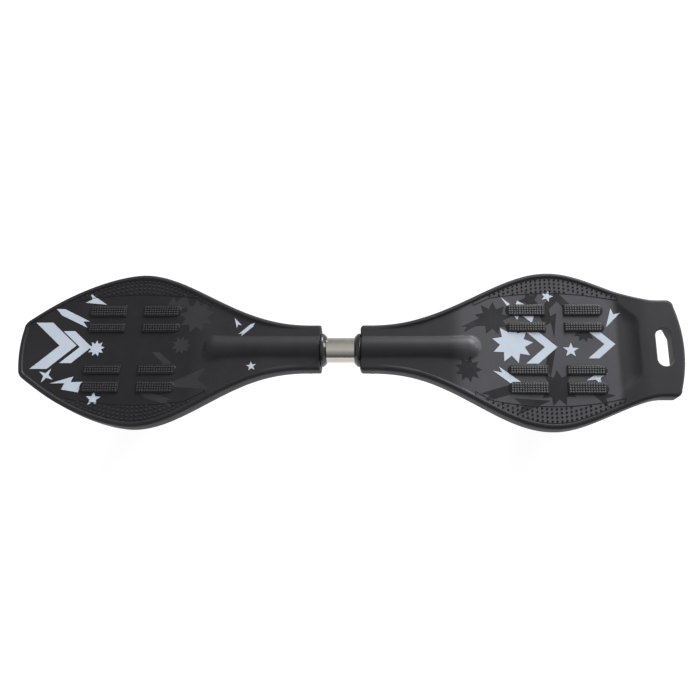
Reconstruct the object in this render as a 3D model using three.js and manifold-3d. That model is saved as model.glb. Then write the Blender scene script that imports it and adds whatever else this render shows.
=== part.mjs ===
// A two-deck caster board: two moulded decks joined by a sprung steel tube, each on one inclined caster.
// The nose points to -X and the tail to +X, +Z is up, and the two wheels stand on z = 0.
import * as THREE from "three";
import { mergeVertices } from "three/addons/utils/BufferGeometryUtils.js";
import Module from "manifold-3d";

const wasm = await Module();
wasm.setup();

const { clamp, degToRad, lerp, smoothstep } = THREE.MathUtils;

// Fits, in millimetres
const seatGap = 0.3;
const runningGap = 0.5;
const cutOverrun = 2;

// Torsion tube and the spring bar inside it, as distances from the middle of the open gap between the decks
const tubeRadius = 16;
const tubeWall = 2;
const tubeFrontReach = 164;
const boreRadius = tubeRadius + seatGap;
const boreEndReach = tubeFrontReach + seatGap;
const barRadius = 3.5;
const plugLength = 34;
const plugInset = 3;
const anchorLength = 34;
const anchorClearance = 4;
const tubeRearReach = boreEndReach - anchorLength - anchorClearance;
const anchorBoltRadius = 3;
const anchorHeadRadius = 5.5;
const anchorHeadHeight = 4;
const anchorBoltReach = boreEndReach - anchorLength / 2;

// Neck bushes with their tapered flange
const bushWall = 0.9;
const bushDepth = 15;
const bushFlangeLength = 7;
const bushFlangeRim = 2.8;
const bushFlangeStep = 5.2;
const bushTipStep = 1.3;
const mouthRadius = boreRadius + bushWall + seatGap;

// Necks: a cradle round the tube, a ridge over it and a cover below
const cradleWall = 10.7;
const cradleHalfWidth = boreRadius + cradleWall;
const boreEndWall = 6;
const coverEnd = boreEndReach + boreEndWall;
const ridgeWall = 2.2;
const ridgeRadius = boreRadius + ridgeWall;
const ridgeOverlap = 8.2;
const ridgeReach = coverEnd + ridgeOverlap;
const neckBottom = -8;
const coverWall = 4.4;
const coverBottom = -boreRadius - coverWall;
const coverChamfer = 7;
const coverScrewInset = 15;
const coverScrewSpacing = 66;
const coverScrewRow = (boreRadius + cradleHalfWidth) / 2;

// Screws with a hexagon socket
const screwShankRadius = 2;
const screwHeadRadius = 3.8;
const screwHeadHeight = 2.6;
const coverScrewLength = 16;
const plateScrewLength = 10;
const coverScrewSeat = coverBottom + screwHeadHeight + seatGap;
const anchorSeat = coverBottom + anchorHeadHeight + seatGap;

// Deck outline, as distances from the middle of the gap and half widths
const neckFaceReach = 25;
const neckFaceChamfer = 1.5;
const neckShoulder = 3.4;
const neckHalfWidth = cradleHalfWidth + neckShoulder;
const deckHalfWidth = 104;
const neckLength = 5;
const flareLength = 232;
const flarePower = 1.42;
const flareStart = neckFaceReach + neckLength;
const flareEnd = flareStart + flareLength;
const noseReach = 418;
const noseHalfWidth = 35.5;
const noseTaperPower = 1.68;
const noseBulge = 2.5;
const noseCornerRadius = 6;
const tailReach = 426;
const tailHalfWidth = 64;
const waistDelay = 3;
const tailStraight = 24;
const tailBulge = 8;
const tailCornerRadius = 9;
const bulgeFade = 60;

// Rim, recessed foot panel and the ramp up to the tail handle
const rimRound = 4;
const rimWidth = 5.5;
const rimStep = 1.2;
const neckRecess = 2.2;
const rimFlush = 15;
const rimLead = 70;
const footRecess = 1.5;
const handleLength = 54;
const creaseReach = tailReach - handleLength;
const creaseSetback = 24;
const creaseFlat = 31.5;
const creaseBow = 25;
const rampLength = 18;
const rampStart = creaseReach - creaseSetback - rampLength;

// Deck heights above and below the tube axis
const ridgeRise = 3.5;
const neckTop = ridgeRadius - ridgeRise;
const footTop = 8;
const topFallLead = 80;
const topFallTail = 22;
const tailTop = 13;
const tailRiseLead = 10;
const tailRiseTail = 13;
const skirtBottom = -15;
const bottomFallLead = 60;
const bottomFallTail = 32;
const tailBottom = -9;
const skirtTuck = 1.5;

// Walls and ribs of the mouldings
const skin = 4;
const skirtWall = 3.5;
const solidNeckLength = 87;
const cavityStart = neckFaceReach + solidNeckLength;
const cavityRound = 5;
const ribThickness = 2.5;
const ribDepth = 10;
const ribRow = 42;
const ribLead = 7.7;
const ribStart = coverEnd + ribLead;
const innerRibInset = 16;

// Raised foot pads, two columns of four rows on each deck
const padLength = 50;
const padHeight = 3;
const padOuterWidth = 16;
const padInnerWidth = 13.5;
const padOuterRow = 52;
const padInnerRow = 28.7;
const padColumnGap = 22.5;
const padMiddle = 270;

// Hand slot in the tail
const slotInset = 24;
const slotMiddle = tailReach - slotInset;
const slotWidth = 22;
const slotLength = 54;
const slotWall = 3;

// Wheel, bearings and axle
const wheelRadius = 38;
const wheelHalfWidth = 12;
const tyreDepth = 14;
const tyreBedRadius = wheelRadius - tyreDepth;
const tyreShoulder = 4;
const treadMargin = 7;
const bearingOuterRadius = 11;
const bearingInnerRadius = 4;
const bearingWidth = 7;
const bearingLip = 1.4;
const bearingSealInset = 0.4;
const hubWebHalf = 4;
const hubRimWall = 3.5;
const hubBossWall = 3;
const hubEdge = 1.2;
const spacerWall = 2.5;
const axleHeadRadius = 7;
const axleHeadHeight = 5;
const axleNutHeight = 6.5;
const washerRadius = 8;
const washerThickness = 1;

// Casters: an inclined swivel with its wheel trailing behind it
const casterAngle = degToRad(30);
const frontSwivelReach = 285;
const rearSwivelReach = 245;
const swivelDepth = 24;
const crownClearance = 14;
const casterDrop = wheelRadius + crownClearance;
const casterTrail = 14;
const forkSheet = 3;
const kingpinRadius = 5;
const kingpinHeadRadius = 9;
const kingpinHeadHeight = 5;
const kingpinNutHeight = 8;
const raceInnerRadius = 12;
const raceOuterRadius = 22;
const raceHeight = 3.5;
const ballRadius = 2.6;
const ballTrackRadius = (raceInnerRadius + raceOuterRadius) / 2;
const crownMargin = 1;
const crownRadius = raceOuterRadius + crownMargin;
const legInset = 8;
const legEndRadius = 10;
const legWrapShare = 0.04;
const legInnerFace = wheelHalfWidth + washerThickness + 2 * seatGap;
const legOuterFace = legInnerFace + forkSheet;
const plateLength = 56;
const plateWidth = 58;
const plateThickness = 3;
const plateCorner = 6;
const plateScrewInset = 8;
const wedgeMargin = 3;

// Heights along the swivel axis, from the top face of the fork crown
const ballBase = seatGap;
const raceBase = ballBase + 2 * ballRadius + seatGap;
const plateBase = raceBase + raceHeight + seatGap;
const wedgeFace = plateBase + plateThickness + seatGap;

// Height of the tube axis with both wheels on the floor
const wheelDrop = casterDrop * Math.cos(casterAngle) - casterTrail * Math.sin(casterAngle);
const tubeAxisHeight = wheelRadius + wheelDrop + swivelDepth;

// Facets, and where the points of a section lie as shares of the panel's half width
const roundSides = 24;
const smallSides = 10;
const holeSides = 8;
const hexSides = 6;
const tyreSides = 36;
const deckSteps = 14;
const rampSteps = 6;
const cavitySteps = 12;
const cornerSteps = 3;
const ballSteps = 6;
const padEndSteps = 4;
const panelShares = [1, 0.68, 0.44];

const moulding = { color: 0x29282b, roughness: 0.5, metalness: 0 };
const coverPlastic = { color: 0x1f1e20, roughness: 0.7, metalness: 0 };
const steel = { color: 0xb9b6ae, roughness: 0.28, metalness: 1 };
const zinc = { color: 0xa9a9a6, roughness: 0.42, metalness: 1 };
const springSteel = { color: 0x4c4c50, roughness: 0.45, metalness: 1 };
const alloy = { color: 0x9c9da0, roughness: 0.4, metalness: 1 };
const nylon = { color: 0x1b1b1d, roughness: 0.35, metalness: 0 };
const urethane = { color: 0x2c2d31, roughness: 0.45, metalness: 0 };
const core = { color: 0xd8d9da, roughness: 0.5, metalness: 0 };

// The two decks share the neck and the flare, and differ in how they narrow and end.
const frontDeck = {
  side: -1,
  reach: noseReach,
  panelEnd: noseReach - rimWidth,
  bulge: noseBulge,
  cornerRadius: noseCornerRadius,
  swivelReach: frontSwivelReach,
  endTop: footTop,
  endBottom: skirtBottom,
  endHalfWidth: noseHalfWidth,
  narrowing: (reach) => progress(reach, flareEnd, noseReach) ** noseTaperPower,
};
const rearDeck = {
  side: 1,
  reach: tailReach,
  panelEnd: creaseReach,
  bulge: tailBulge,
  cornerRadius: tailCornerRadius,
  swivelReach: rearSwivelReach,
  endTop: tailTop,
  endBottom: tailBottom,
  endHalfWidth: tailHalfWidth,
  narrowing: (reach) => smoothstep(reach, flareEnd + waistDelay, tailReach - tailStraight),
};

// How far a value has gone from the start to the end, from 0 to 1.
function progress(value, start, end) {
  return clamp((value - start) / (end - start), 0, 1);
}

function evenly(from, to, steps) {
  return Array.from({ length: steps + 1 }, (_, step) => lerp(from, to, step / steps));
}

// Turns a closed geometry into a solid that can be joined and cut.
function solid(geometry) {
  const bare = geometry.clone();
  bare.deleteAttribute("normal");
  bare.deleteAttribute("uv");
  const merged = mergeVertices(bare);
  return new wasm.Manifold(new wasm.Mesh({
    numProp: 3,
    vertProperties: new Float32Array(merged.attributes.position.array),
    triVerts: new Uint32Array(merged.index.array),
  }));
}

// Turns a solid back into a geometry.
function shell(body) {
  const mesh = body.getMesh();
  const geometry = new THREE.BufferGeometry();
  geometry.setAttribute("position", new THREE.BufferAttribute(mesh.vertProperties, 3));
  geometry.setIndex(new THREE.BufferAttribute(mesh.triVerts, 1));
  geometry.computeVertexNormals();
  return geometry;
}

function join(first, geometries) {
  return geometries.reduce((body, geometry) => body.add(solid(geometry)), first);
}

function cut(first, geometries) {
  return geometries.reduce((body, geometry) => body.subtract(solid(geometry)), first);
}

function moved(geometry, x, y, z) {
  return geometry.clone().translate(x, y, z);
}

// A body turned about Z from [radius, height] points that start and end on the axis or close on themselves.
function turned(points, sides) {
  const profile = points.map(([radius, height]) => new THREE.Vector2(radius, height));
  return new THREE.LatheGeometry(profile, sides).rotateX(Math.PI / 2);
}

function rod(radius, low, high, sides) {
  return turned([[0, low], [radius, low], [radius, high], [0, high]], sides);
}

function ring(inner, outer, low, high, sides) {
  return turned([[inner, low], [outer, low], [outer, high], [inner, high], [inner, low]], sides);
}

function extruded(plan, depth, curveSegments) {
  return new THREE.ExtrudeGeometry(plan, { depth, bevelEnabled: false, curveSegments });
}

function arcPoints(centreX, centreY, radius, from, to, steps) {
  return evenly(from, to, steps).map((angle) => (
    [centreX + radius * Math.cos(angle), centreY + radius * Math.sin(angle)]));
}

// A closed body through rings of points with equal counts; the two end rings are capped.
function loft(rings) {
  const count = rings[0].length;
  const positions = rings.flat().flatMap((point) => [point.x, point.y, point.z]);
  const faces = [];
  for (let along = 0; along + 1 < rings.length; along += 1) {
    for (let around = 0; around < count; around += 1) {
      const next = (around + 1) % count;
      const [a, b] = [along * count + around, along * count + next];
      const [c, d] = [a + count, b + count];
      faces.push(a, b, c, b, d, c);
    }
  }
  const lastRing = (rings.length - 1) * count;
  [[rings[0], 0, false], [rings.at(-1), lastRing, true]].forEach(([points, first, isLast]) => {
    const outline = points.map((point) => new THREE.Vector2(point.y, point.z));
    const facesBack = (THREE.ShapeUtils.area(outline) > 0) === isLast;
    THREE.ShapeUtils.triangulateShape(outline, []).forEach(([a, b, c]) => {
      faces.push(first + a, first + (facesBack ? b : c), first + (facesBack ? c : b));
    });
  });
  const geometry = new THREE.BufferGeometry();
  geometry.setAttribute("position", new THREE.Float32BufferAttribute(positions, 3));
  geometry.setIndex(faces);
  return geometry;
}

// A ring of points across a deck at one reach, from the [across, height] points of its right half.
function acrossDeck(deck, rightHalf, reachAt) {
  const leftHalf = rightHalf.filter(([across]) => across > 0).map(([across, height]) => [-across, height]);
  return [...rightHalf, ...leftHalf.reverse()].map(([across, height]) => (
    new THREE.Vector3(deck.side * reachAt(across), deck.side * across, height)));
}

// A block that lies along a deck, given by its reach, its half width and its heights.
function spanBlock(deck, from, to, half, low, high) {
  const middle = deck.side * (from + to) / 2;
  return new THREE.BoxGeometry(to - from, 2 * half, high - low).translate(middle, 0, (low + high) / 2);
}

// Lays a body that stands on Z along a deck, with its foot in the middle of the gap.
function laidAlong(deck, geometry) {
  return geometry.rotateY(deck.side * Math.PI / 2);
}

// Half width of a deck at a distance from the middle of the gap, before its end corners are rounded.
function halfWidthAt(deck, reach) {
  const flare = smoothstep(reach, flareStart, flareEnd) ** flarePower;
  const flared = lerp(neckHalfWidth, deckHalfWidth, flare);
  return flared - (deckHalfWidth - deck.endHalfWidth) * deck.narrowing(reach);
}

// Rounds the end corners and the edge of the neck face.
function outlineAt(deck, reach) {
  const past = progress(reach, deck.reach - deck.cornerRadius, deck.reach);
  const corner = deck.cornerRadius * (1 - Math.sqrt(1 - past * past));
  const chamfer = neckFaceChamfer * (1 - progress(reach, neckFaceReach, neckFaceReach + neckFaceChamfer));
  return halfWidthAt(deck, reach) - corner - chamfer;
}

// How far the middle of a section stands out past its sides, where the end of the deck is bowed.
function bulgeAt(deck, reach) {
  return deck.bulge * smoothstep(reach, deck.reach - bulgeFade, deck.reach);
}

function topFallAt(reach) {
  return smoothstep(reach, flareStart + topFallLead, flareEnd - topFallTail);
}

function tailRiseAt(reach) {
  return smoothstep(reach, rampStart + tailRiseLead, creaseReach + tailRiseTail);
}

// Height of the rim, which is level with the panel at the neck face and rises out of it further on.
function rimTopAt(deck, reach) {
  const flushEnd = neckFaceReach + rimFlush;
  const sunk = neckRecess * (1 - smoothstep(reach, flushEnd, flushEnd + rimLead));
  return lerp(neckTop, footTop, topFallAt(reach)) - sunk + (deck.endTop - footTop) * tailRiseAt(reach);
}

function bottomAt(deck, reach) {
  const fall = smoothstep(reach, flareStart + bottomFallLead, flareEnd - bottomFallTail);
  return lerp(neckBottom, skirtBottom, fall) + (deck.endBottom - skirtBottom) * tailRiseAt(reach);
}

// Height of the recessed panel, which ends at the nose rim or climbs a hollow ramp to the tail crease.
function panelAt(deck, reach, across) {
  const fall = topFallAt(reach);
  const floor = lerp(neckTop - neckRecess, footTop - footRecess, fall);
  if (deck === frontDeck) {
    return lerp(floor, footTop, progress(reach, deck.panelEnd - rimStep, deck.panelEnd));
  }
  const past = Math.max(Math.abs(across) - creaseFlat, 0) / creaseBow;
  const setback = creaseSetback * Math.tanh(past ** 2);
  const climb = progress(reach, creaseReach - setback - rampLength, creaseReach - setback);
  return lerp(floor, rimTopAt(deck, reach), climb ** 2);
}

// Distances at which a deck's sections lie: even steps, with finer ones at the face, the ramp and the end.
function deckStations(deck) {
  const bodyEnd = deck.reach - deck.cornerRadius;
  const corner = evenly(0, Math.PI / 2, cornerSteps)
    .map((angle) => bodyEnd + deck.cornerRadius * Math.sin(angle));
  const stations = [
    neckFaceReach + neckFaceChamfer,
    ...evenly(neckFaceReach, rampStart, deckSteps),
    ...evenly(rampStart, deck.panelEnd, rampSteps),
    flareEnd,
    deck.panelEnd - rimStep,
    (Math.min(deck.panelEnd, bodyEnd) + bodyEnd) / 2,
    ...corner,
  ];
  return [...new Set(stations)].sort((a, b) => a - b);
}

// One closed section of a deck, from its bottom edge over the rounded rim and the panel to the other side.
function deckSection(deck, reach) {
  const half = outlineAt(deck, reach);
  const top = rimTopAt(deck, reach);
  const panelHalf = half - rimWidth - rimStep;
  const rightHalf = [
    [half - skirtTuck, bottomAt(deck, reach)],
    ...arcPoints(half - rimRound, top - rimRound, rimRound, 0, Math.PI / 2, cornerSteps),
    [half - rimWidth, top],
    ...panelShares.map((share) => [panelHalf * share, panelAt(deck, reach, panelHalf * share)]),
    [0, panelAt(deck, reach, 0)],
  ];
  return acrossDeck(deck, rightHalf, (across) => reach - bulgeAt(deck, reach) * (across / half) ** 2);
}

// The hollow under a deck, open below.
function deckCavity(deck) {
  const end = deck.reach - deck.bulge - skirtWall;
  return loft(evenly(cavityStart, end, cavitySteps).map((reach) => {
    const half = outlineAt(deck, reach + bulgeAt(deck, reach)) - skirtWall;
    const ceiling = panelAt(deck, reach, 0) - skin;
    const rightHalf = [
      [half - skirtTuck, skirtBottom - cutOverrun],
      [half, ceiling - cavityRound],
      [half - cavityRound, ceiling],
    ];
    return acrossDeck(deck, rightHalf, () => reach);
  }));
}

// The bore for the tube, with the wider mouth that takes the bush.
function tubeBores(deck) {
  const from = neckFaceReach - cutOverrun;
  const bores = [
    rod(boreRadius, from, boreEndReach, roundSides),
    rod(mouthRadius, from, neckFaceReach + bushDepth + seatGap, roundSides),
  ];
  return bores.map((bore) => laidAlong(deck, bore));
}

// The slots below the bore through which the tube goes in.
function tubeTrenches(deck) {
  const [from, low] = [neckFaceReach - cutOverrun, neckBottom - cutOverrun];
  return [
    spanBlock(deck, from, boreEndReach, boreRadius, low, 0),
    spanBlock(deck, from, neckFaceReach + bushDepth + seatGap, mouthRadius, low, 0),
  ];
}

// The rounded ridge that covers the tube on top of a deck.
function ridge(deck) {
  const dome = arcPoints(0, ridgeReach - ridgeRadius, ridgeRadius, 0, Math.PI / 2, 2 * cornerSteps);
  const profile = [[0, neckFaceReach], [ridgeRadius, neckFaceReach], ...dome];
  const body = laidAlong(deck, turned(profile, roundSides));
  return shell(cut(solid(body), [spanBlock(deck, 0, deck.reach, deckHalfWidth, -deckHalfWidth, 0)]));
}

// A foot pad: square at the end that faces the other column, half round at the other.
function pad(width, outward) {
  const half = width / 2;
  const plan = new THREE.Shape();
  plan.moveTo(0, -half);
  plan.lineTo(padLength - half, -half);
  plan.absarc(padLength - half, 0, half, -Math.PI / 2, Math.PI / 2, false);
  plan.lineTo(0, half);
  plan.closePath();
  const body = extruded(plan, padHeight + skin / 2, padEndSteps);
  return outward > 0 ? body : body.rotateZ(Math.PI);
}

function footPads(deck) {
  const base = footTop - footRecess - skin / 2;
  const rows = [[padOuterRow, padOuterWidth], [padInnerRow, padInnerWidth]];
  const sides = [-1, 1];
  return rows.flatMap(([row, width]) => sides.flatMap((across) => sides.map((outward) => {
    const from = deck.side * padMiddle + outward * padColumnGap / 2;
    return moved(pad(width, outward), from, across * row, base);
  })));
}

// The frame of a caster, with Z along its swivel axis and the origin where that meets the fork crown.
function casterFrame(deck) {
  const place = new THREE.Vector3(deck.side * deck.swivelReach, 0, -swivelDepth);
  const turn = new THREE.Quaternion().setFromEuler(new THREE.Euler(0, -casterAngle, 0));
  return new THREE.Matrix4().compose(place, turn, new THREE.Vector3(1, 1, 1));
}

// The slanted block under the foot that carries a caster.
function wedge(deck) {
  const frame = casterFrame(deck);
  const halfLength = plateLength / 2 + wedgeMargin;
  const fore = new THREE.Vector3(-halfLength, 0, wedgeFace).applyMatrix4(frame);
  const aft = new THREE.Vector3(halfLength, 0, wedgeFace).applyMatrix4(frame);
  const ceiling = footTop - footRecess - skin / 2;
  const side = new THREE.Shape([
    new THREE.Vector2(fore.x, fore.z), new THREE.Vector2(aft.x, aft.z),
    new THREE.Vector2(aft.x, ceiling), new THREE.Vector2(fore.x, ceiling),
  ]);
  const width = plateWidth + 2 * wedgeMargin;
  return extruded(side, width, 1).rotateX(Math.PI / 2).translate(0, width / 2, 0);
}

function plateScrewPlaces() {
  const [reach, row] = [plateLength / 2 - plateScrewInset, plateWidth / 2 - plateScrewInset];
  return [[-reach, -row], [-reach, row], [reach, -row], [reach, row]];
}

// Holes in the wedge for the kingpin's nut and the four plate screws, and room below it for the plate.
function wedgeHoles(deck) {
  const from = wedgeFace - cutOverrun;
  const pocketTop = wedgeFace + kingpinNutHeight + seatGap;
  const pocket = rod(kingpinHeadRadius + seatGap, from, pocketTop, roundSides);
  const screwHole = rod(screwShankRadius + seatGap, from, plateBase + plateScrewLength, holeSides);
  const [length, width] = [plateLength + 2 * seatGap, plateWidth + 2 * seatGap];
  const height = plateBase + plateThickness;
  const plateRoom = new THREE.BoxGeometry(length, width, height).translate(0, 0, height / 2);
  const holes = [pocket, plateRoom, ...plateScrewPlaces().map(([x, y]) => moved(screwHole, x, y, 0))];
  return holes.map((hole) => hole.applyMatrix4(casterFrame(deck)));
}

// Thin ribs that stiffen the foot from below, clear of the wedge.
function footRibs(deck) {
  const ceiling = footTop - footRecess - skin / 2;
  const low = footTop - footRecess - skin - ribDepth;
  const lengthwise = spanBlock(deck, ribStart, rampStart, ribThickness / 2, low, ceiling);
  const crosswise = [ribStart + innerRibInset, rampStart].map((reach) => {
    const half = halfWidthAt(deck, reach) - skirtWall / 2;
    return spanBlock(deck, reach - ribThickness / 2, reach + ribThickness / 2, half, low, ceiling);
  });
  return [moved(lengthwise, 0, -ribRow, 0), moved(lengthwise, 0, ribRow, 0), ...crosswise];
}

// A racetrack bar through the tail: the hand slot, or the wall round it.
function slotBar(margin, low, high) {
  const radius = slotWidth / 2 + margin;
  const straight = (slotLength - slotWidth) / 2;
  const plan = new THREE.Shape();
  plan.absarc(slotMiddle, straight, radius, 0, Math.PI, false);
  plan.absarc(slotMiddle, -straight, radius, Math.PI, 2 * Math.PI, false);
  return extruded(plan, high - low, holeSides).translate(0, 0, low);
}

function coverScrewPlaces(deck) {
  const first = neckFaceReach + coverScrewInset;
  return [first, first + coverScrewSpacing].flatMap((reach) => (
    [-coverScrewRow, coverScrewRow].map((row) => [deck.side * reach, row])));
}

// The moulded deck: outer form with ridge, pads and wedge, hollow below, bored for the tube.
function deckMoulding(deck) {
  const outer = solid(loft(deckStations(deck).map((reach) => deckSection(deck, reach))));
  const cradleTop = neckTop - neckRecess - skin;
  const cradle = spanBlock(
    deck, cavityStart - cutOverrun, coverEnd + cutOverrun, cradleHalfWidth, neckBottom, cradleTop,
  );
  const coverSeat = spanBlock(
    deck, neckFaceReach - cutOverrun, coverEnd + seatGap, cradleHalfWidth + seatGap,
    coverBottom - cutOverrun, neckBottom,
  );
  const screwHole = rod(
    screwShankRadius + seatGap, neckBottom - cutOverrun, coverScrewSeat + coverScrewLength, holeSides,
  );
  const screwHoles = coverScrewPlaces(deck).map(([x, y]) => moved(screwHole, x, y, 0));
  const hollow = cut(outer, [deckCavity(deck)]);
  const full = join(hollow, [ridge(deck), ...footPads(deck), wedge(deck), ...footRibs(deck), cradle]);
  const body = cut(full, [
    coverSeat, ...tubeBores(deck), ...tubeTrenches(deck), ...wedgeHoles(deck), ...screwHoles,
  ]);
  if (deck === frontDeck) {
    return shell(body);
  }
  const walled = join(body, [slotBar(slotWall, tailBottom, tailTop - skin / 2)]);
  return shell(cut(walled, [slotBar(0, skirtBottom - cutOverrun, tailTop + cutOverrun)]));
}

// A hole for a shank with a wider seat for its head, both from below the cover.
function headedHole(shankRadius, headRadius, seat) {
  const low = coverBottom - cutOverrun;
  return [rod(shankRadius, low, neckBottom + cutOverrun, holeSides), rod(headRadius, low, seat, smallSides)];
}

// The cover that clamps the tube into a neck from below.
function neckCover(deck) {
  const rightHalf = [
    [cradleHalfWidth - coverChamfer, coverBottom],
    [cradleHalfWidth, coverBottom + coverChamfer],
    [cradleHalfWidth, neckBottom - seatGap],
  ];
  const blank = loft([neckFaceReach, coverEnd].map((reach) => acrossDeck(deck, rightHalf, () => reach)));
  const screwHole = headedHole(screwShankRadius + seatGap, screwHeadRadius + seatGap, coverScrewSeat);
  const screwHoles = coverScrewPlaces(deck)
    .flatMap(([x, y]) => screwHole.map((hole) => moved(hole, x, y, 0)));
  const boltHole = headedHole(anchorBoltRadius + seatGap, anchorHeadRadius + seatGap, anchorSeat)
    .map((hole) => moved(hole, deck.side * anchorBoltReach, 0, 0));
  return shell(cut(solid(blank), [...tubeBores(deck), ...screwHoles, ...boltHole]));
}

// A screw with a hexagon socket, its head below z = 0 and its shank above.
function socketScrew(headRadius, headHeight, shankRadius, length) {
  const profile = [
    [0, -headHeight], [headRadius, -headHeight], [headRadius, 0],
    [shankRadius, 0], [shankRadius, length], [0, length],
  ];
  const socket = rod(headRadius / 2, -headHeight - cutOverrun, -headHeight / 2, hexSides);
  return shell(cut(solid(turned(profile, smallSides)), [socket]));
}

// A tube round X with a hole from below for a bolt.
function drilledTube(inner, outer, from, to, boltX) {
  const body = ring(inner, outer, from, to, roundSides).rotateY(Math.PI / 2);
  const drill = rod(anchorBoltRadius + seatGap, -outer - cutOverrun, 0, holeSides);
  return shell(cut(solid(body), [moved(drill, boltX, 0, 0)]));
}

function neckBush(deck) {
  const sleeve = boreRadius + bushWall;
  const flange = boreRadius + bushFlangeStep;
  const seat = neckFaceReach - seatGap;
  const tip = seat - bushFlangeLength;
  const bushEnd = neckFaceReach + bushDepth;
  const profile = [
    [boreRadius, tip], [boreRadius + bushTipStep, tip], [flange, seat - bushFlangeRim], [flange, seat],
    [sleeve, seat], [sleeve, bushEnd], [boreRadius, bushEnd], [boreRadius, tip],
  ];
  return laidAlong(deck, turned(profile, roundSides));
}

// A plate with rounded corners and the holes for its kingpin and screws.
function casterPlate() {
  const [halfLength, halfWidth, round] = [plateLength / 2, plateWidth / 2, plateCorner];
  const plan = new THREE.Shape();
  plan.absarc(halfLength - round, halfWidth - round, round, 0, Math.PI / 2, false);
  plan.absarc(round - halfLength, halfWidth - round, round, Math.PI / 2, Math.PI, false);
  plan.absarc(round - halfLength, round - halfWidth, round, Math.PI, 1.5 * Math.PI, false);
  plan.absarc(halfLength - round, round - halfWidth, round, 1.5 * Math.PI, 2 * Math.PI, false);
  const top = plateThickness + cutOverrun;
  const screwHole = rod(screwShankRadius + seatGap, -cutOverrun, top, holeSides);
  const holes = plateScrewPlaces().map(([x, y]) => moved(screwHole, x, y, 0));
  holes.push(rod(kingpinRadius + seatGap, -cutOverrun, top, smallSides));
  const body = cut(solid(extruded(plan, plateThickness, cornerSteps)), holes);
  return shell(body).translate(0, 0, plateBase);
}

function hexNut(radius, bore, low, high) {
  const hole = rod(bore, low - cutOverrun, high + cutOverrun, smallSides);
  return shell(cut(solid(rod(radius, low, high, hexSides)), [hole]));
}

// The bolt that the fork turns on: hexagon head below the crown, shank up into the nut.
function kingpin() {
  const under = -forkSheet - runningGap;
  const head = rod(kingpinHeadRadius, under - kingpinHeadHeight, under, hexSides);
  const shank = rod(kingpinRadius, under - kingpinHeadHeight / 2, wedgeFace + kingpinNutHeight, smallSides);
  return shell(join(solid(head), [shank]));
}

// The caged balls, as the ring that they roll in.
function ballRing() {
  const section = arcPoints(ballTrackRadius, ballBase + ballRadius, ballRadius, 0, 2 * Math.PI, ballSteps);
  return turned(section, roundSides);
}

// A fork leg: wide at the crown, which it enters, and round at the axle.
function forkLeg() {
  const half = crownRadius - legInset;
  const side = new THREE.Shape();
  side.moveTo(half, -forkSheet / 2);
  side.lineTo(-half, -forkSheet / 2);
  const [from, to] = [Math.PI * (1 + legWrapShare), Math.PI * (2 - legWrapShare)];
  side.absarc(casterTrail, -casterDrop, legEndRadius, from, to, false);
  side.closePath();
  return extruded(side, forkSheet, holeSides).rotateX(Math.PI / 2);
}

// A pressed fork: a round crown and two legs, pierced for kingpin and axle.
function fork() {
  const crown = turned([
    [0, -forkSheet], [crownRadius - forkSheet / 2, -forkSheet], [crownRadius, -forkSheet / 2],
    [crownRadius, 0], [0, 0],
  ], roundSides);
  const legs = [moved(forkLeg(), 0, -legInnerFace, 0), moved(forkLeg(), 0, legOuterFace, 0)];
  const holeReach = legOuterFace + cutOverrun;
  const axleHole = rod(bearingInnerRadius, -holeReach, holeReach, smallSides).rotateX(Math.PI / 2);
  return shell(cut(join(solid(crown), legs), [
    rod(kingpinRadius + runningGap, -forkSheet - cutOverrun, cutOverrun, smallSides),
    moved(axleHole, casterTrail, 0, -casterDrop),
  ]));
}

// Lays a body that stands on Z along Y, as the pieces of the wheel lie; the side says which way it points.
function lying(geometry, side) {
  return geometry.rotateX(-side * Math.PI / 2);
}

// The bolt through the wheel, its head on the +Y side.
function axleBolt() {
  const length = 2 * (legOuterFace + seatGap) + axleNutHeight;
  const screw = socketScrew(axleHeadRadius, axleHeadHeight, bearingInnerRadius - seatGap, length);
  return lying(screw.translate(0, 0, -legOuterFace - seatGap), -1);
}

function tyre() {
  const bed = tyreBedRadius + seatGap;
  const shoulderRadius = wheelRadius - tyreShoulder;
  const outerRight = evenly(0, Math.PI / 2, cornerSteps).map((angle) => [
    lerp(shoulderRadius, wheelRadius, Math.cos(angle)),
    lerp(wheelHalfWidth - treadMargin, wheelHalfWidth, Math.sin(angle)),
  ]);
  const wallRadius = (bed + shoulderRadius) / 2;
  const right = [...outerRight, [wallRadius, wheelHalfWidth], [bed, wheelHalfWidth - hubEdge]];
  const left = right.map(([radius, across]) => [radius, -across]).reverse();
  return lying(turned([...left, ...right, left[0]], tyreSides), 1);
}

// The wheel core: rim, web, and a boss that seats a bearing from each side.
function hub() {
  const seat = bearingOuterRadius + seatGap;
  const shelf = wheelHalfWidth - bearingWidth - seatGap;
  const boss = bearingOuterRadius + hubBossWall;
  const rimInner = tyreBedRadius - hubRimWall;
  const rimHalf = wheelHalfWidth - hubEdge;
  const right = [
    [tyreBedRadius, rimHalf], [rimInner + hubEdge, rimHalf], [rimInner, hubWebHalf],
    [boss + hubEdge, hubWebHalf], [boss, wheelHalfWidth], [seat, wheelHalfWidth],
    [seat, shelf], [bearingOuterRadius - 2 * bearingLip, shelf],
  ];
  const left = right.map(([radius, across]) => [radius, -across]).reverse();
  return lying(turned([...left, ...right, left[0]], roundSides), 1);
}

// A shielded ball bearing, flush with the wheel's side.
function bearing(side) {
  const [inner, outer] = [bearingInnerRadius, bearingOuterRadius];
  const [low, high] = [wheelHalfWidth - bearingWidth, wheelHalfWidth];
  const sealHeight = high - bearingSealInset;
  const profile = [
    [inner, low], [outer, low], [outer, high], [outer - bearingLip, high], [outer - bearingLip, sealHeight],
    [inner + bearingLip, sealHeight], [inner + bearingLip, high], [inner, high], [inner, low],
  ];
  return lying(turned(profile, smallSides), side);
}

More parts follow.
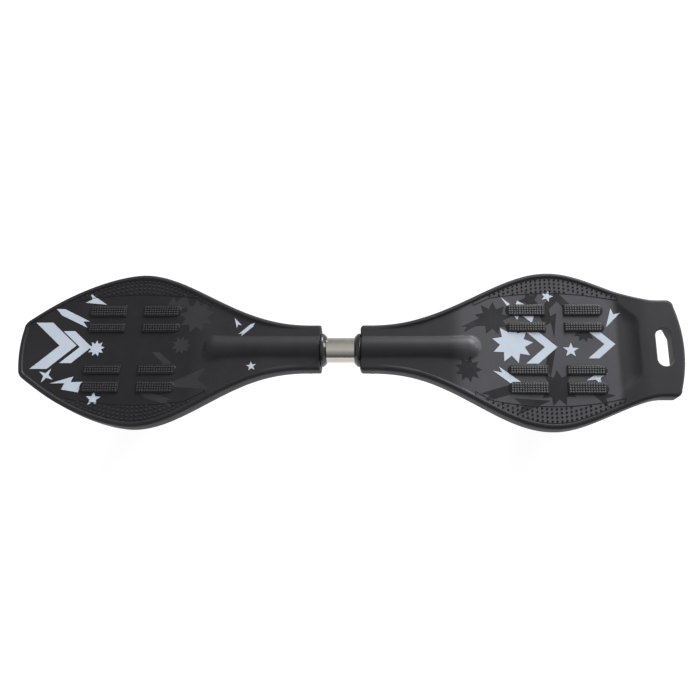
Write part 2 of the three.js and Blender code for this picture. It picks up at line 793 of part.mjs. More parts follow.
function spacer() {
  const half = wheelHalfWidth - bearingWidth - seatGap;
  return lying(ring(bearingInnerRadius, bearingInnerRadius + spacerWall, -half, half, smallSides), 1);
}

function washer(side) {
  const low = wheelHalfWidth + seatGap;
  return lying(ring(bearingInnerRadius, washerRadius, low, low + washerThickness, smallSides), side);
}

function axleNut() {
  const low = legOuterFace + seatGap;
  return lying(hexNut(axleHeadRadius, bearingInnerRadius, low, low + axleNutHeight), -1);
}

function named(name, geometry, finish, x = 0, y = 0, z = 0) {
  const mesh = new THREE.Mesh(geometry, new THREE.MeshStandardMaterial(finish));
  mesh.name = name;
  mesh.position.set(x, y, z);
  return mesh;
}

function wheel(prefix) {
  const group = new THREE.Group();
  group.add(named(`${prefix}_tyre`, tyre(), urethane));
  group.add(named(`${prefix}_hub`, hub(), core));
  group.add(named(`${prefix}_bearing_left`, bearing(-1), steel));
  group.add(named(`${prefix}_bearing_right`, bearing(1), steel));
  group.add(named(`${prefix}_bearing_spacer`, spacer(), alloy));
  group.add(named(`${prefix}_washer_left`, washer(-1), zinc));
  group.add(named(`${prefix}_washer_right`, washer(1), zinc));
  group.add(named(`${prefix}_axle`, axleBolt(), zinc));
  group.add(named(`${prefix}_axle_nut`, axleNut(), zinc));
  group.position.set(casterTrail, 0, -casterDrop);
  return group;
}

function caster(prefix, deck) {
  const group = new THREE.Group();
  const screw = socketScrew(screwHeadRadius, screwHeadHeight, screwShankRadius, plateScrewLength);
  const nut = hexNut(kingpinHeadRadius, kingpinRadius + seatGap, wedgeFace, wedgeFace + kingpinNutHeight);
  const upperRace = ring(raceInnerRadius, raceOuterRadius, raceBase, raceBase + raceHeight, roundSides);
  group.add(named(`${prefix}_caster_plate`, casterPlate(), zinc));
  plateScrewPlaces().forEach(([x, y], index) => {
    group.add(named(`${prefix}_plate_screw_${index + 1}`, screw, zinc, x, y, plateBase - seatGap));
  });
  group.add(named(`${prefix}_kingpin`, kingpin(), zinc));
  group.add(named(`${prefix}_kingpin_nut`, nut, zinc));
  group.add(named(`${prefix}_upper_race`, upperRace, steel));
  group.add(named(`${prefix}_ball_ring`, ballRing(), steel));
  group.add(named(`${prefix}_fork`, fork(), alloy));
  group.add(wheel(prefix));
  group.applyMatrix4(casterFrame(deck));
  return group;
}

function deckGroup(prefix, deck) {
  const group = new THREE.Group();
  const screw = socketScrew(screwHeadRadius, screwHeadHeight, screwShankRadius, coverScrewLength);
  const boltFoot = anchorSeat - seatGap;
  const boltLength = -barRadius - seatGap - boltFoot;
  const bolt = socketScrew(anchorHeadRadius, anchorHeadHeight, anchorBoltRadius, boltLength);
  group.add(named(`${prefix}_deck`, deckMoulding(deck), moulding));
  group.add(named(`${prefix}_neck_cover`, neckCover(deck), coverPlastic));
  coverScrewPlaces(deck).forEach(([x, y], index) => {
    group.add(named(`${prefix}_neck_screw_${index + 1}`, screw, zinc, x, y, coverScrewSeat - seatGap));
  });
  group.add(named(`${prefix}_bush`, neckBush(deck), nylon));
  group.add(named(`${prefix}_anchor_bolt`, bolt, zinc, deck.side * anchorBoltReach, 0, boltFoot));
  group.add(caster(prefix, deck));
  return group;
}

// The tube, fixed in the front neck, and the bar that ties it to the rear one.
function spring() {
  const group = new THREE.Group();
  const tubeInner = tubeRadius - tubeWall;
  const barHole = barRadius + seatGap;
  const plugFrom = plugInset - tubeFrontReach;
  const anchorFrom = tubeFrontReach - anchorLength;
  const tube = drilledTube(tubeInner, tubeRadius, -tubeFrontReach, tubeRearReach, -anchorBoltReach);
  const plug = drilledTube(barHole, tubeInner - seatGap, plugFrom, plugFrom + plugLength, -anchorBoltReach);
  const anchor = drilledTube(barHole, tubeRadius, anchorFrom, tubeFrontReach, anchorBoltReach);
  const bar = rod(barRadius, plugFrom, tubeFrontReach, smallSides).rotateY(Math.PI / 2);
  group.add(named("torsion_tube", tube, steel));
  group.add(named("front_bar_plug", plug, alloy));
  group.add(named("rear_bar_anchor", anchor, alloy));
  group.add(named("torsion_bar", bar, springSteel));
  return group;
}

const board = new THREE.Group();
board.add(deckGroup("front", frontDeck), deckGroup("rear", rearDeck), spring());
board.position.set((noseReach - tailReach) / 2, 0, tubeAxisHeight);

export default board;
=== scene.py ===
"""The looks of a two-deck caster board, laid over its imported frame.

Sizes are in millimetres. A reach is a distance from the middle of the gap between the decks, and a height is
measured from the axis of the torsion tube. A shape is a list of points and the quads that join them, in
millimetres until its mesh is made. A profile is a list of (radius, height) or (inset, height) points.
"""
import math
from types import SimpleNamespace

import bmesh
import bpy
import numpy as np
from mathutils import Matrix, Vector


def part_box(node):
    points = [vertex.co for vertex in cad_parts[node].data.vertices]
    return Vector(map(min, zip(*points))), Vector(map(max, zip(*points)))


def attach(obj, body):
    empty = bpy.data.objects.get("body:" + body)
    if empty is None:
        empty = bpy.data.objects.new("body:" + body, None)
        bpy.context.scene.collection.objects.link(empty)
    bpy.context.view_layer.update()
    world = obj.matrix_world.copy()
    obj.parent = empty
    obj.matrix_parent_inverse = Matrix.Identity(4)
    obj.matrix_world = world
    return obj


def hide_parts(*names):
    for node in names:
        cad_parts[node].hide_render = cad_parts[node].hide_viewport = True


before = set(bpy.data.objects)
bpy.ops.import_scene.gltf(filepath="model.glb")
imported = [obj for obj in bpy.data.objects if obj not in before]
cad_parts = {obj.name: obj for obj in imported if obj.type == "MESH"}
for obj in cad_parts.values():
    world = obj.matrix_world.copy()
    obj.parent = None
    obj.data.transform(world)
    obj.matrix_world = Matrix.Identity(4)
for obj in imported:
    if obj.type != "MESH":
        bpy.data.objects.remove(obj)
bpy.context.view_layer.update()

METRE = 0.001
WELD = 1e-6
CREASE = math.radians(32)
QUARTER_TURN = math.pi / 2
FULL_TURN = 2 * math.pi

# Torsion tube, its bushes and its necks
TUBE_RADIUS = 16
TUBE_WALL = 2
TUBE_EDGE = 0.4
TUBE_FRONT_REACH = 164
TUBE_REAR_REACH = 126.3
BORE_RADIUS = 16.3
BORE_END = 164.3
MOUTH_RADIUS = 17.5
MOUTH_END = 40.3
BUSH_SEAT = 24.7
BUSH_END = 40
BUSH_TIP = 17.7
BUSH_TIP_RADIUS = 17.6
BUSH_FLANGE_RADIUS = 21.5
BUSH_RIM = 2.8
BUSH_SLEEVE_RADIUS = 17.2
CRADLE_HALF = 27
CRADLE_START = 110
CRADLE_END = 172.3
CRADLE_TOP = 8.8
CRADLE_ROUND = 0.8
COVER_END = 170.3
COVER_TOP = -8.3
COVER_BOTTOM = -20.7
COVER_CHAMFER = 7
COVER_EDGE = 0.8
COVER_SCREW_REACHES = (40, 106)
COVER_SCREW_ROW = 21.65
COVER_SCREW_SEAT = 2.9
BAR_BOLT_REACH = 147.3
BAR_BOLT_SEAT = 4.3
HOLE_START = -2
HOLE_END = 14

# Decks
NECK_FACE = 25
NECK_EDGE = 2
NECK_HALF = 30.4
NECK_INNER_HALF = 27.3
NECK_TOP = 15
NECK_BOTTOM = -8
NECK_FLOOR = 12.8
FOOT_HALF = 104
FOOT_TOP = 8
FOOT_FLOOR = 6.5
FLARE_START = 30
FLARE_END = 262
FLARE_POWER = 1.42
TOP_FALL = (110, 240)
PANEL_SINK = (40, 110)
BOTTOM_FALL = (90, 230)
TAIL_RISE = (340, 385)
END_BOW_LENGTH = 60
SKIRT_BOTTOM = -15
SKIRT_TUCK = 1.5
SKIRT_WALL = 3.5
CAVITY_START = 112
CAVITY_ROUND = 5
SKIN = 4
RIM_ROUND = 4
WALL_SHARES = np.array([0, 0.02, 0.08, 0.5])
WALL_FOOT_ROUND = np.array([0.6, 0.15, 0, 0])
STEP_INSETS = np.array([5.1, 5.5, 5.8, 6.1, 6.5, 6.9, 8])
RIDGE_RADIUS = 18.5
RIDGE_STRAIGHT_END = 160
RIDGE_FILLET = 1.4
CREASE_REACH = 372
RAMP_LENGTH = 18
CREASE_SETBACK = 24
CREASE_FLAT = 31.5
CREASE_BOW = 25
FILM_FADE = 24
FILM_END_FADE = 8
FILM_INSET = 7
FILM_EDGE = 0.6

# How finely a deck's outline is drawn, smoothed and cut into rows
SIDE_POINTS = 1600
CORNER_POINTS = 60
END_POINTS = 120
OUTLINE_STEP = 0.5
SMOOTHED_STEPS = 41
FIRST_ROW = 3
ROW_PITCH = 2.0
FINE_ROW_PITCH = 1.0
FINE_LENGTH = 70
PANEL_POINTS = 44
NECK_LEG_POINTS = [3, 8, 6]

# Hand slot: an inset, a height and the share of the extra depth for each point of its wall's section
SLOT_REACH = 401.4
SLOT_RADIUS = 9.6
SLOT_STRAIGHT = 15.2
SLOT_CUT_MARGIN = 1.2
SLOT_CUT = [(0, -30), (0, 30)]
SLOT_DROP = 14
SLOT_DROP_SPAN = (SLOT_REACH - 2, SLOT_REACH + 9)
SLOT_SECTION = (
    (0, 7, 1), (-0.4, 6.4, 1), (-2.8, 6.4, 1), (-3.2, 7, 1), (-3.2, 11.5, 0), (-2.4, 12.6, 0),
    (-1.6, 12.95, 0), (-0.9, 12.9, 0), (-0.3, 12.5, 0), (0, 11.9, 0),
)

# Ribs and caster block
RIB_TOP = 5.5
RIB_BOTTOM = -7.5
RIB_HALF = 1.25
LONG_RIB_ROW = 42
LONG_RIB_ENDS = (178, 334)
CROSS_RIB_REACHES = (194, 330)
CROSS_RIB_INSET = 5
BLOCK_FACE = 12.9
BLOCK_HALF_LENGTH = 31
BLOCK_HALF_WIDTH = 32
BLOCK_EDGE = 1.2

# Foot pads, with rows of small pyramids on top: row, width and lines of pyramids
PAD_ROWS = ((52, 16, 4), (28.7, 13.5, 3))
PAD_MIDDLE = 270
PAD_INNER_END = 11.25
PAD_LENGTH = 50
PAD_PLATEAU = 8.1
PAD_TOP = 9.5
PAD_CORNER = ((0.0, 1.2), (0.35, 0.35), (1.2, 0.0))
PAD_EDGE = [(0, FOOT_FLOOR - 0.6), (0, 7.2), (0.15, 7.6), (0.4, 7.9), (0.9, PAD_PLATEAU)]
PYRAMID = [(0, -0.3), (1.85, -0.3), (1.1, PAD_TOP - PAD_PLATEAU), (0, PAD_TOP - PAD_PLATEAU)]
PYRAMID_PITCH = 3.2
PYRAMID_START = 1.4
PYRAMID_MARGIN = 1.7
PYRAMIDS_ALONG = 14

# Grip strips
STRIP_START = 168
STRIP_END = 350
STRIP_MIDDLE = 262
STRIP_SPAN = 92
STRIP_INNER = 75.5
STRIP_OUTER_INSET = 7.4
STRIP_LEAST_WIDTH = 5
STUD = [(0, -0.4), (1.5, -0.4), (1.4, 0.35), (1.05, 0.85), (0, 1.0)]
STUD_PITCH = 5.9
STUD_ROW_PITCH = 5.2
STUD_ROWS = 4
STUD_END_MARGINS = (4, 2)
STUD_OUTER_MARGIN = 2.2
STUD_INNER_MARGIN = 1.4
BEAD_POINTS = 420
BEAD_SECTION = np.array([
    (-0.6, -0.5), (-0.55, 0.15), (-0.3, 0.42), (0, 0.5), (0.3, 0.42), (0.55, 0.15), (0.6, -0.5),
])

# Prints
PRINT_CELL = 3
PRINT_DEPTH = 0.25
PRINT_STEP = 0.01
PRINT_RISE = 0.25
GHOST_RISE = 0.05

# Casters, measured from where the swivel axis meets the top of the fork's crown
SWIVEL_LEAN = math.pi / 6
SWIVEL_DROP = 24
WHEEL_TRAIL = 14
WHEEL_DROP = 52
PLATE = [(0.6, 9.6), (0.15, 9.75), (0, 10.1), (0, 12.1), (0.15, 12.45), (0.6, 12.6)]
PLATE_CORNERS = [(28, -29), (28, 29), (-28, 29), (-28, -29)]
PLATE_SCREWS = [(x, y, 9.3) for x in (-20, 20) for y in (-21, 21)]
PIVOT_BOLT = [
    (0, -8.5), (7.6, -8.5), (9, -7.6, 1), (9, -4.3, 1), (8.6, -3.7), (7.2, -3.5), (5, -3.5), (5, 20.4),
    (4.5, 20.9), (0, 20.9),
]
TOP_RACE = [
    (12, 6.3), (12.5, 5.8), (14.2, 5.8), (15.2, 6.3), (17, 6.5), (18.8, 6.3), (19.8, 5.8), (21.5, 5.8),
    (22, 6.3), (22, 8.8), (21.5, 9.3), (12.5, 9.3), (12, 8.8),
]
CROWN = [
    (5.5, -3), (20.5, -3), (22, -2.6), (23, -1.6), (23, -0.8), (22.4, -0.15), (21.6, 0), (19.2, -0.1),
    (18.4, -0.35), (15.6, -0.35), (14.8, -0.1), (5.5, -0.1),
]
BALL_COUNT = 16
BALL_RADIUS = 2.6
BALL_CIRCLE = 17
BALL_HEIGHT = 2.9
BALL_CAGE = [(12.6, 2.3), (21.4, 2.3), (21.4, 3.5), (12.6, 3.5)]
LEG_MIDDLE = 15.1
LEG_FACE = 16.2
LEG_LEFT = [(-15, -1.5), (-14.6, -6), (-9, -22), (-1, -38)]
LEG_RIGHT = [(22.8, -38), (19.8, -22), (15.8, -6), (15, -1.5)]
LEG_TIP_RADIUS = 10
LEG_TIP_TURN = np.linspace(math.pi * 1.03, math.pi * 1.97, 20)
LEG_EDGE = [(0.7, -1.5), (0.2, -1.35), (0, -0.9), (0, 0.9), (0.2, 1.35), (0.7, 1.5)]
LEG_RIB_X = (1, 12.5)
LEG_RIB_Z = (-9, -37)
LEG_RIB_HALF = 2.6
LEG_RIB_RISE = 0.9
HUB_SIDE = [
    (23.9, 10.8), (23.2, 11.2), (21.4, 11.2), (20.7, 10.4), (20.3, 5.2), (19.4, 4), (16.2, 3.6), (15.1, 4.4),
    (14.1, 10.9), (13.6, 11.9), (11.6, 12), (11.3, 11.6), (11.3, 4.7), (8.2, 4.7),
]
HUB_SIDES = 120
WEB_RADII = (15.5, 20)
SPOKES = 6
SPOKE_EDGE = (0.35, 0.75)
SPOKE_DEPTH = 0.55
TYRE_SIDE = [
    (37.95, 0.0), (37.7, 0.25), (38.0, 0.7),
    *((34 + 4 * math.cos(turn), 5 + 6.9 * math.sin(turn)) for turn in np.linspace(0, QUARTER_TURN, 9)),
    (33.4, 11.9), (32.9, 11.6), (31.4, 11.55), (30.9, 11.9), (26.4, 12), (25.1, 11.6), (24.3, 10.8),
]
BEARING_RINGS = [
    (4, 5.4), (4.4, 5), (10.6, 5), (11, 5.4), (11, 11.6), (10.7, 12), (9.7, 12), (9.5, 11.7), (9.5, 11),
    (5.6, 11), (5.6, 11.7), (5.4, 12), (4.3, 12), (4, 11.7),
]
BEARING_SEAL = [(5.7, 10.6), (9.4, 10.6), (9.4, 11.5), (9.0, 11.6), (6.1, 11.6), (5.7, 11.5)]
WASHER = [(4, 12.4), (4.2, 12.3), (7.7, 12.3), (8, 12.5), (8, 13.1), (7.7, 13.3), (4.2, 13.3), (4, 13.2)]
WHEEL_BOLT_SEAT = 16.9

tube_low, tube_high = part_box("torsion_tube")
BOARD_ORIGIN = np.array([
    tube_low[0] / METRE + TUBE_FRONT_REACH, 0, (tube_low[2] + tube_high[2]) / 2 / METRE,
])


# Curves and grids

def progress(value, start, end):
    """How far a value has gone from the start to the end, from 0 to 1."""
    return np.clip((value - start) / (end - start), 0, 1)


def eased(value, start, end):
    """Progress with a soft start and end: three times its square less twice its cube."""
    share = progress(value, start, end)
    return share * share * (3 - 2 * share)


def mix(low, high, share):
    return low + (high - low) * share


def round_drop(distance, radius):
    """How far a quarter round falls back at a distance from its tip: its radius less a circle's height."""
    past = np.clip(1 - distance / radius, 0, 1)
    return radius * (1 - np.sqrt(1 - past ** 2))


def unit(ways):
    return ways / np.linalg.norm(ways, axis=-1, keepdims=True)


def inward_of(outline):
    """Directions into a closed outline: the way from the point before to the point after, turned left."""
    tangent = unit(np.roll(outline, -1, axis=0) - np.roll(outline, 1, axis=0))
    return np.column_stack([-tangent[:, 1], tangent[:, 0]])


def run_length(path):
    """How far along a path each of its points is."""
    return np.concatenate([[0], np.cumsum(np.linalg.norm(np.diff(path, axis=0), axis=1))])


def sampled(pairs, length, steps):
    """Pairs of values, known at some lengths, at other lengths."""
    return np.column_stack([np.interp(steps, length, column) for column in pairs.T])


def smoothed(pairs, kernel):
    """Pairs of values averaged with their neighbours."""
    return np.column_stack([np.convolve(column, kernel, mode="same") for column in pairs.T])


def around_z(radius, angle, height):
    """Points at a radius and an angle about Z: radius times its cosine and sine."""
    flat = np.broadcast_to(height, radius.shape)
    return np.stack([radius * np.cos(angle), radius * np.sin(angle), flat], axis=-1)


def at_lengths(places, sections):
    """A grid of points: each section across the board stands at its own place along X."""
    return np.dstack([np.broadcast_to(places[:, None], sections.shape[:2]), sections])


def grid_shape(points, wrap_rows=False, wrap_columns=False):
    """A grid of points as a shape: quads join each point to its neighbours in its row and the next row."""
    rows, columns = points.shape[:2]
    index = np.arange(rows * columns).reshape(rows, columns)
    if wrap_rows:
        index = np.vstack([index, index[:1]])
    if wrap_columns:
        index = np.hstack([index, index[:, :1]])
    cells = [index[:-1, :-1], index[:-1, 1:], index[1:, 1:], index[1:, :-1]]
    return points.reshape(-1, 3), np.stack(cells, axis=-1).reshape(-1, 4)


def closed_grid(points, wrap_columns=True):
    """A grid whose first and last rows are each closed by a ladder of quads from their two ends inwards."""
    rows, count = points.shape[:2]
    shape, quads = grid_shape(points, wrap_columns=wrap_columns)
    rung = np.arange(count // 2 - 1)
    ladder = np.column_stack([rung, rung + 1, count - 2 - rung, count - 1 - rung])
    return shape, np.concatenate([quads, ladder, ladder + (rows - 1) * count])


def turned(profile, sides=64, start=0.0):
    """A profile turned about Z: radius times cosine and sine of the angle, at its height.

    A third number from 0 to 1 makes the ring at that point a hexagon: its radius shrinks towards the flats.
    The profile starts and ends on the axis, or closes on itself.
    """
    profile = np.array([tuple(point) + (0,) * (3 - len(point)) for point in profile], float)
    angle = start + np.arange(sides) * FULL_TURN / sides
    sixth = np.abs(np.mod(angle, FULL_TURN / 6) - FULL_TURN / 12)
    flat = np.cos(FULL_TURN / 12) / np.cos(sixth)
    radius = profile[:, :1] * mix(1, flat[None, :], profile[:, 2:3])
    on_axis = profile[0, 0] == 0 and profile[-1, 0] == 0
    return grid_shape(around_z(radius, angle, profile[:, 1:2]), wrap_rows=not on_axis, wrap_columns=True)


def rounded(corners, radius, steps=4, closed=True):
    """A polyline with rounded corners: each becomes a parabola between points a radius to either side."""
    corners = np.asarray(corners, float)

    def toward(other):
        length = np.linalg.norm(other - corners, axis=1)
        share = np.minimum(radius / np.maximum(length, WELD), 0.49)
        return (corners + (other - corners) * share[:, None])[:, None]

    start, end = toward(np.roll(corners, 1, axis=0)), toward(np.roll(corners, -1, axis=0))
    share = np.linspace(0, 1, steps + 1)[None, :, None]
    arcs = start * (1 - share) ** 2 + corners[:, None] * 2 * share * (1 - share) + end * share ** 2
    if closed:
        return arcs.reshape(-1, 2)
    return np.concatenate([corners[:1], arcs[1:-1].reshape(-1, 2), corners[-1:]])


def slab(outline, profile):
    """A closed plan outline carried up a profile of (inset, height) points and closed across at both ends."""
    outline = np.asarray(outline, float)
    inward, middle = inward_of(outline), outline.mean(axis=0)
    rows = [np.column_stack([outline + inward * inset, np.full(len(outline), height)])
            for inset, height in profile]
    ends = [np.tile([*middle, height], (len(outline), 1)) for height in (profile[0][1], profile[-1][1])]
    return grid_shape(np.stack([ends[0], *rows, ends[1]]), wrap_columns=True)


def soft_ends(start, end, edge, steps=4):
    """Places along a length and how much a section shrinks there, so that both ends get a round edge."""
    angle = np.linspace(0, QUARTER_TURN, steps + 1)
    rise, shrink = edge * (1 - np.cos(angle)), edge * (1 - np.sin(angle))
    direction = math.copysign(1, end - start)
    places = np.concatenate([start + direction * rise, end - direction * rise[::-1]])
    return places, np.concatenate([shrink, shrink[::-1]])


def extruded(section, start, end, edge):
    """A grid: a section carried along a length, and scaled down at both ends for their round edges."""
    places, shrink = soft_ends(start, end, edge)
    middle = section.mean(axis=0)
    half = np.abs(section - middle).max(axis=0)
    return at_lengths(places, middle + (section - middle) * ((half - shrink[:, None]) / half)[:, None])


def bar(low, high, edge=0.6):
    """A block with all edges rounded: a rounded rectangle across, carried along X."""
    (x0, y0, z0), (x1, y1, z1) = low, high
    return closed_grid(extruded(rounded([(y0, z0), (y1, z0), (y1, z1), (y0, z1)], edge), x0, x1, edge))


def placed(shape, matrix):
    """A shape moved by a 4 by 4 matrix."""
    points, quads = shape
    matrix = np.array(matrix)
    return points @ matrix[:3, :3].T + matrix[:3, 3], quads


def copies(shape, places):
    """The same small shape at each of several places."""
    points, quads = shape
    moved = points[None] + np.asarray(places, float)[:, None]
    starts = np.arange(len(places))[:, None, None] * len(points)
    return moved.reshape(-1, 3), (quads[None] + starts).reshape(-1, quads.shape[1])


def ball(radius, sides=16, rings=10):
    """A small ball: a half circle turned about Z."""
    angle = np.linspace(-QUARTER_TURN, QUARTER_TURN, rings + 1)
    profile = np.column_stack([radius * np.cos(angle), radius * np.sin(angle)])
    profile[[0, -1], 0] = 0
    return turned(profile, sides)


# Objects

def add_object(name, data):
    made = bpy.data.objects.new(name, data)
    bpy.context.scene.collection.objects.link(made)
    return made


def add_mesh(name, shapes):
    """Shapes as one object, welded, with its faces turned outwards and its hard edges crisp.

    A quad that names a point twice becomes a triangle.
    """
    starts = np.cumsum([0] + [len(points) for points, _ in shapes[:-1]])
    points = (np.concatenate([points for points, _ in shapes]) + BOARD_ORIGIN) * METRE
    quads = np.concatenate([quads + start for (_, quads), start in zip(shapes, starts)])
    mesh = bpy.data.meshes.new(name)
    mesh.from_pydata(points.tolist(), [], [list(dict.fromkeys(quad)) for quad in quads.tolist()])
    work = bmesh.new()
    work.from_mesh(mesh)
    bmesh.ops.remove_doubles(work, verts=work.verts, dist=WELD)
    bmesh.ops.recalc_face_normals(work, faces=work.faces)
    work.to_mesh(mesh)
    work.free()
    mesh.shade_smooth()
    mesh.set_sharp_from_angle(angle=CREASE)
    return add_object(name, mesh)


def piece(name, body, finish, shapes, stands_for=()):
    """An object that rides on a body, takes a finish and stands for the CAD nodes named."""
    made = add_mesh(name, shapes)
    made.data.materials.append(finish)
    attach(made, body)
    if stands_for:
        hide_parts(*stands_for)
    return made


def half_piece(deck, label, finish, shapes, *nodes, body="half", slot="deck_plastic"):
    """A piece of one half of the board: its name, body and CAD nodes all start with the deck's own word."""
    return piece(f"{deck.prefix}_{label}", f"{deck.prefix}_{body}", finish, shapes,
                 [f"{deck.prefix}_{node}" for node in nodes])


def carve(made, shapes):
    """Cuts closed shapes that don't touch each other out of a piece."""
    cutter = add_mesh("cutter", shapes)
    opening = made.modifiers.new("cut", "BOOLEAN")
    opening.object = cutter
    opening.operation = "DIFFERENCE"
    opening.solver = "MANIFOLD"
    seen = made.evaluated_get(bpy.context.evaluated_depsgraph_get())
    carved = bpy.data.meshes.new_from_object(seen)
    made.modifiers.clear()
    made.data = carved
    carved.set_sharp_from_angle(angle=CREASE)
    bpy.data.objects.remove(cutter)


# Shader nodes and node groups

SOCKETS = {1: "NodeSocketFloat", 3: "NodeSocketVector", 4: "NodeSocketColor"}


def feed(tree, node, inputs):
    """Gives each input of a node a constant, or a link from another node's output."""
    for label, value in inputs.items():
        if isinstance(value, bpy.types.NodeSocket):
            tree.links.new(value, node.inputs[label])
        else:
            node.inputs[label].default_value = value


def add_node(tree, kind, inputs, **settings):
    """A shader node with its settings and inputs; gives back its outputs."""
    made = tree.nodes.new(f"ShaderNode{kind}")
    for label, value in settings.items():
        setattr(made, label, value)
    feed(tree, made, inputs)
    return made.outputs


def add_noise(tree, place, scale, detail, roughness=0.5):
    inputs = {"Vector": place, "Scale": scale, "Detail": detail, "Roughness": roughness}
    return add_node(tree, "TexNoise", inputs)["Fac"]


def combined(tree, operation, *values, clamp=False):
    """The result of a sum on values."""
    return add_node(tree, "Math", dict(enumerate(values)), operation=operation, use_clamp=clamp)[0]


def blended_colour(tree, share, first, second):
    return add_node(tree, "Mix", {0: share, 6: first, 7: second}, data_type="RGBA")[2]


def blended_value(tree, share, first, second):
    return add_node(tree, "Mix", {0: share, 2: first, 3: second}, data_type="FLOAT")[0]


def chosen_shader(tree, share, first, second):
    return add_node(tree, "MixShader", {0: share, 1: first, 2: second})[0]


def ranged(tree, value, low, high, **ends):
    """A value's progress from low to high; ends can give what it starts and ends with."""
    return add_node(tree, "MapRange", {"Value": value, "From Min": low, "From Max": high, **ends})["Result"]


def new_group(name, inputs, outputs):
    """An empty node group, what it is given and its output node.

    The socket of an input or output follows from how many numbers its value has: one, three or four.
    """
    group = bpy.data.node_groups.new(name, "ShaderNodeTree")
    for label, value in inputs.items():
        kind = SOCKETS[np.size(value)]
        group.interface.new_socket(name=label, in_out="INPUT", socket_type=kind).default_value = value
    for label, count in outputs.items():
        group.interface.new_socket(name=label, in_out="OUTPUT", socket_type=SOCKETS[count])
    return group, group.nodes.new("NodeGroupInput").outputs, group.nodes.new("NodeGroupOutput")


def surface_place(tree):
    return add_node(tree, "TexCoord", {})["Object"]


def changing_roughness(group, given, noise):
    """The roughness given, plus the change given times a noise less a half."""
    centred = combined(group, "SUBTRACT", noise, 0.5)
    return combined(group, "MULTIPLY_ADD", centred, given["Change"], given["Roughness"])


def make_grain():
    """Fine moulded or cast texture: noise for height, and a slow change of roughness across the surface."""
    inputs = {"Grain size": 1400.0, "Roughness": 0.5, "Change": 0.1}
    group, given, result = new_group("Moulded grain", inputs, {"Height": 1, "Roughness": 1})
    place = surface_place(group)
    fine = add_noise(group, place, given["Grain size"], 2, 0.6)
    slow = add_noise(group, place, 38, 3, 0.55)
    feed(group, result, {"Height": fine, "Roughness": changing_roughness(group, given, slow)})
    return group


def make_brushing():
    """Drawn or machined metal: noise stretched along one axis, for height and roughness."""
    inputs = {"Stretch": (20.0, 900.0, 900.0), "Roughness": 0.25, "Change": 0.12}
    group, given, result = new_group("Brushing", inputs, {"Height": 1, "Roughness": 1})
    stretched = add_node(group, "VectorMath", {0: surface_place(group), 1: given["Stretch"]},
                         operation="MULTIPLY")[0]
    lines = add_noise(group, stretched, 1, 3)
    feed(group, result, {"Height": lines, "Roughness": changing_roughness(group, given, lines)})
    return group


def make_handling():
    """Handled surface: cloudy patches and fine specks blend a second colour into the first; as handling dust
    on most parts, and as a painted sheen on the rear deck's film.
    """
    inputs = {"Colour": (0.02, 0.02, 0.02, 1), "Dust": (0.1, 0.1, 0.1, 1), "Amount": 0.2, "Patch size": 22.0}
    group, given, result = new_group("Handling", inputs, {"Colour": 4})
    place = surface_place(group)
    clouds = ranged(group, add_noise(group, place, given["Patch size"], 5, 0.62), 0.42, 0.74)
    specks = ranged(group, add_noise(group, place, 620, 1), 0.6, 0.74)
    both = combined(group, "MULTIPLY_ADD", specks, 0.6, clouds)
    mask = combined(group, "MULTIPLY", both, given["Amount"], clamp=True)
    feed(group, result, {"Colour": blended_colour(group, mask, given["Colour"], given["Dust"])})
    return group


GRAIN = make_grain()
HANDLING = make_handling()
BRUSHING = make_brushing()


# Finishes

def new_material(name):
    """A material with a Principled shader, its tree and the shader."""
    made = bpy.data.materials.new(name)
    made.use_nodes = True
    return made, made.node_tree, made.node_tree.nodes["Principled BSDF"]


def handled(tree, colour, dust, amount, patch_size=22):
    """A colour with a second colour blended in where the surface is handled; on the rear deck's film the
    lighter patches are a painted sheen.
    """
    inputs = {"Colour": (*colour, 1), "Dust": (*dust, 1), "Amount": amount, "Patch size": patch_size}
    return add_node(tree, "Group", inputs, node_tree=HANDLING)["Colour"]


def grain_of(tree, size, roughness, change):
    inputs = {"Grain size": size, "Roughness": roughness, "Change": change}
    return add_node(tree, "Group", inputs, node_tree=GRAIN)


def bumped(tree, height, strength, depth):
    """A normal from a height whose full depth is in millimetres."""
    inputs = {"Height": height, "Strength": strength, "Distance": depth * METRE}
    return add_node(tree, "Bump", inputs)["Normal"]


def plastic(name, colour, dust, roughness, *, dusty=0.25, grain=1400, depth=0.05, specular=0.35, change=0.12):
    """Moulded plastic: fine grain, patches of handling dust and uneven gloss."""
    made, tree, shader = new_material(name)
    texture = grain_of(tree, grain, roughness, change)
    feed(tree, shader, {
        "Base Color": handled(tree, colour, dust, dusty), "Roughness": texture["Roughness"],
        "Specular IOR Level": specular, "Normal": bumped(tree, texture["Height"], 0.5, depth),
    })
    return made


def metal(name, colour, dust, roughness, *, stretch=(20, 900, 900), dusty=0.15, depth=0.01):
    """Bare or plated metal: fine lines along one axis and a little handling dirt."""
    made, tree, shader = new_material(name)
    texture = add_node(tree, "Group", {"Stretch": stretch, "Roughness": roughness}, node_tree=BRUSHING)
    feed(tree, shader, {
        "Base Color": handled(tree, colour, dust, dusty), "Roughness": texture["Roughness"], "Metallic": 1,
        "Normal": bumped(tree, texture["Height"], 0.4, depth),
    })
    return made


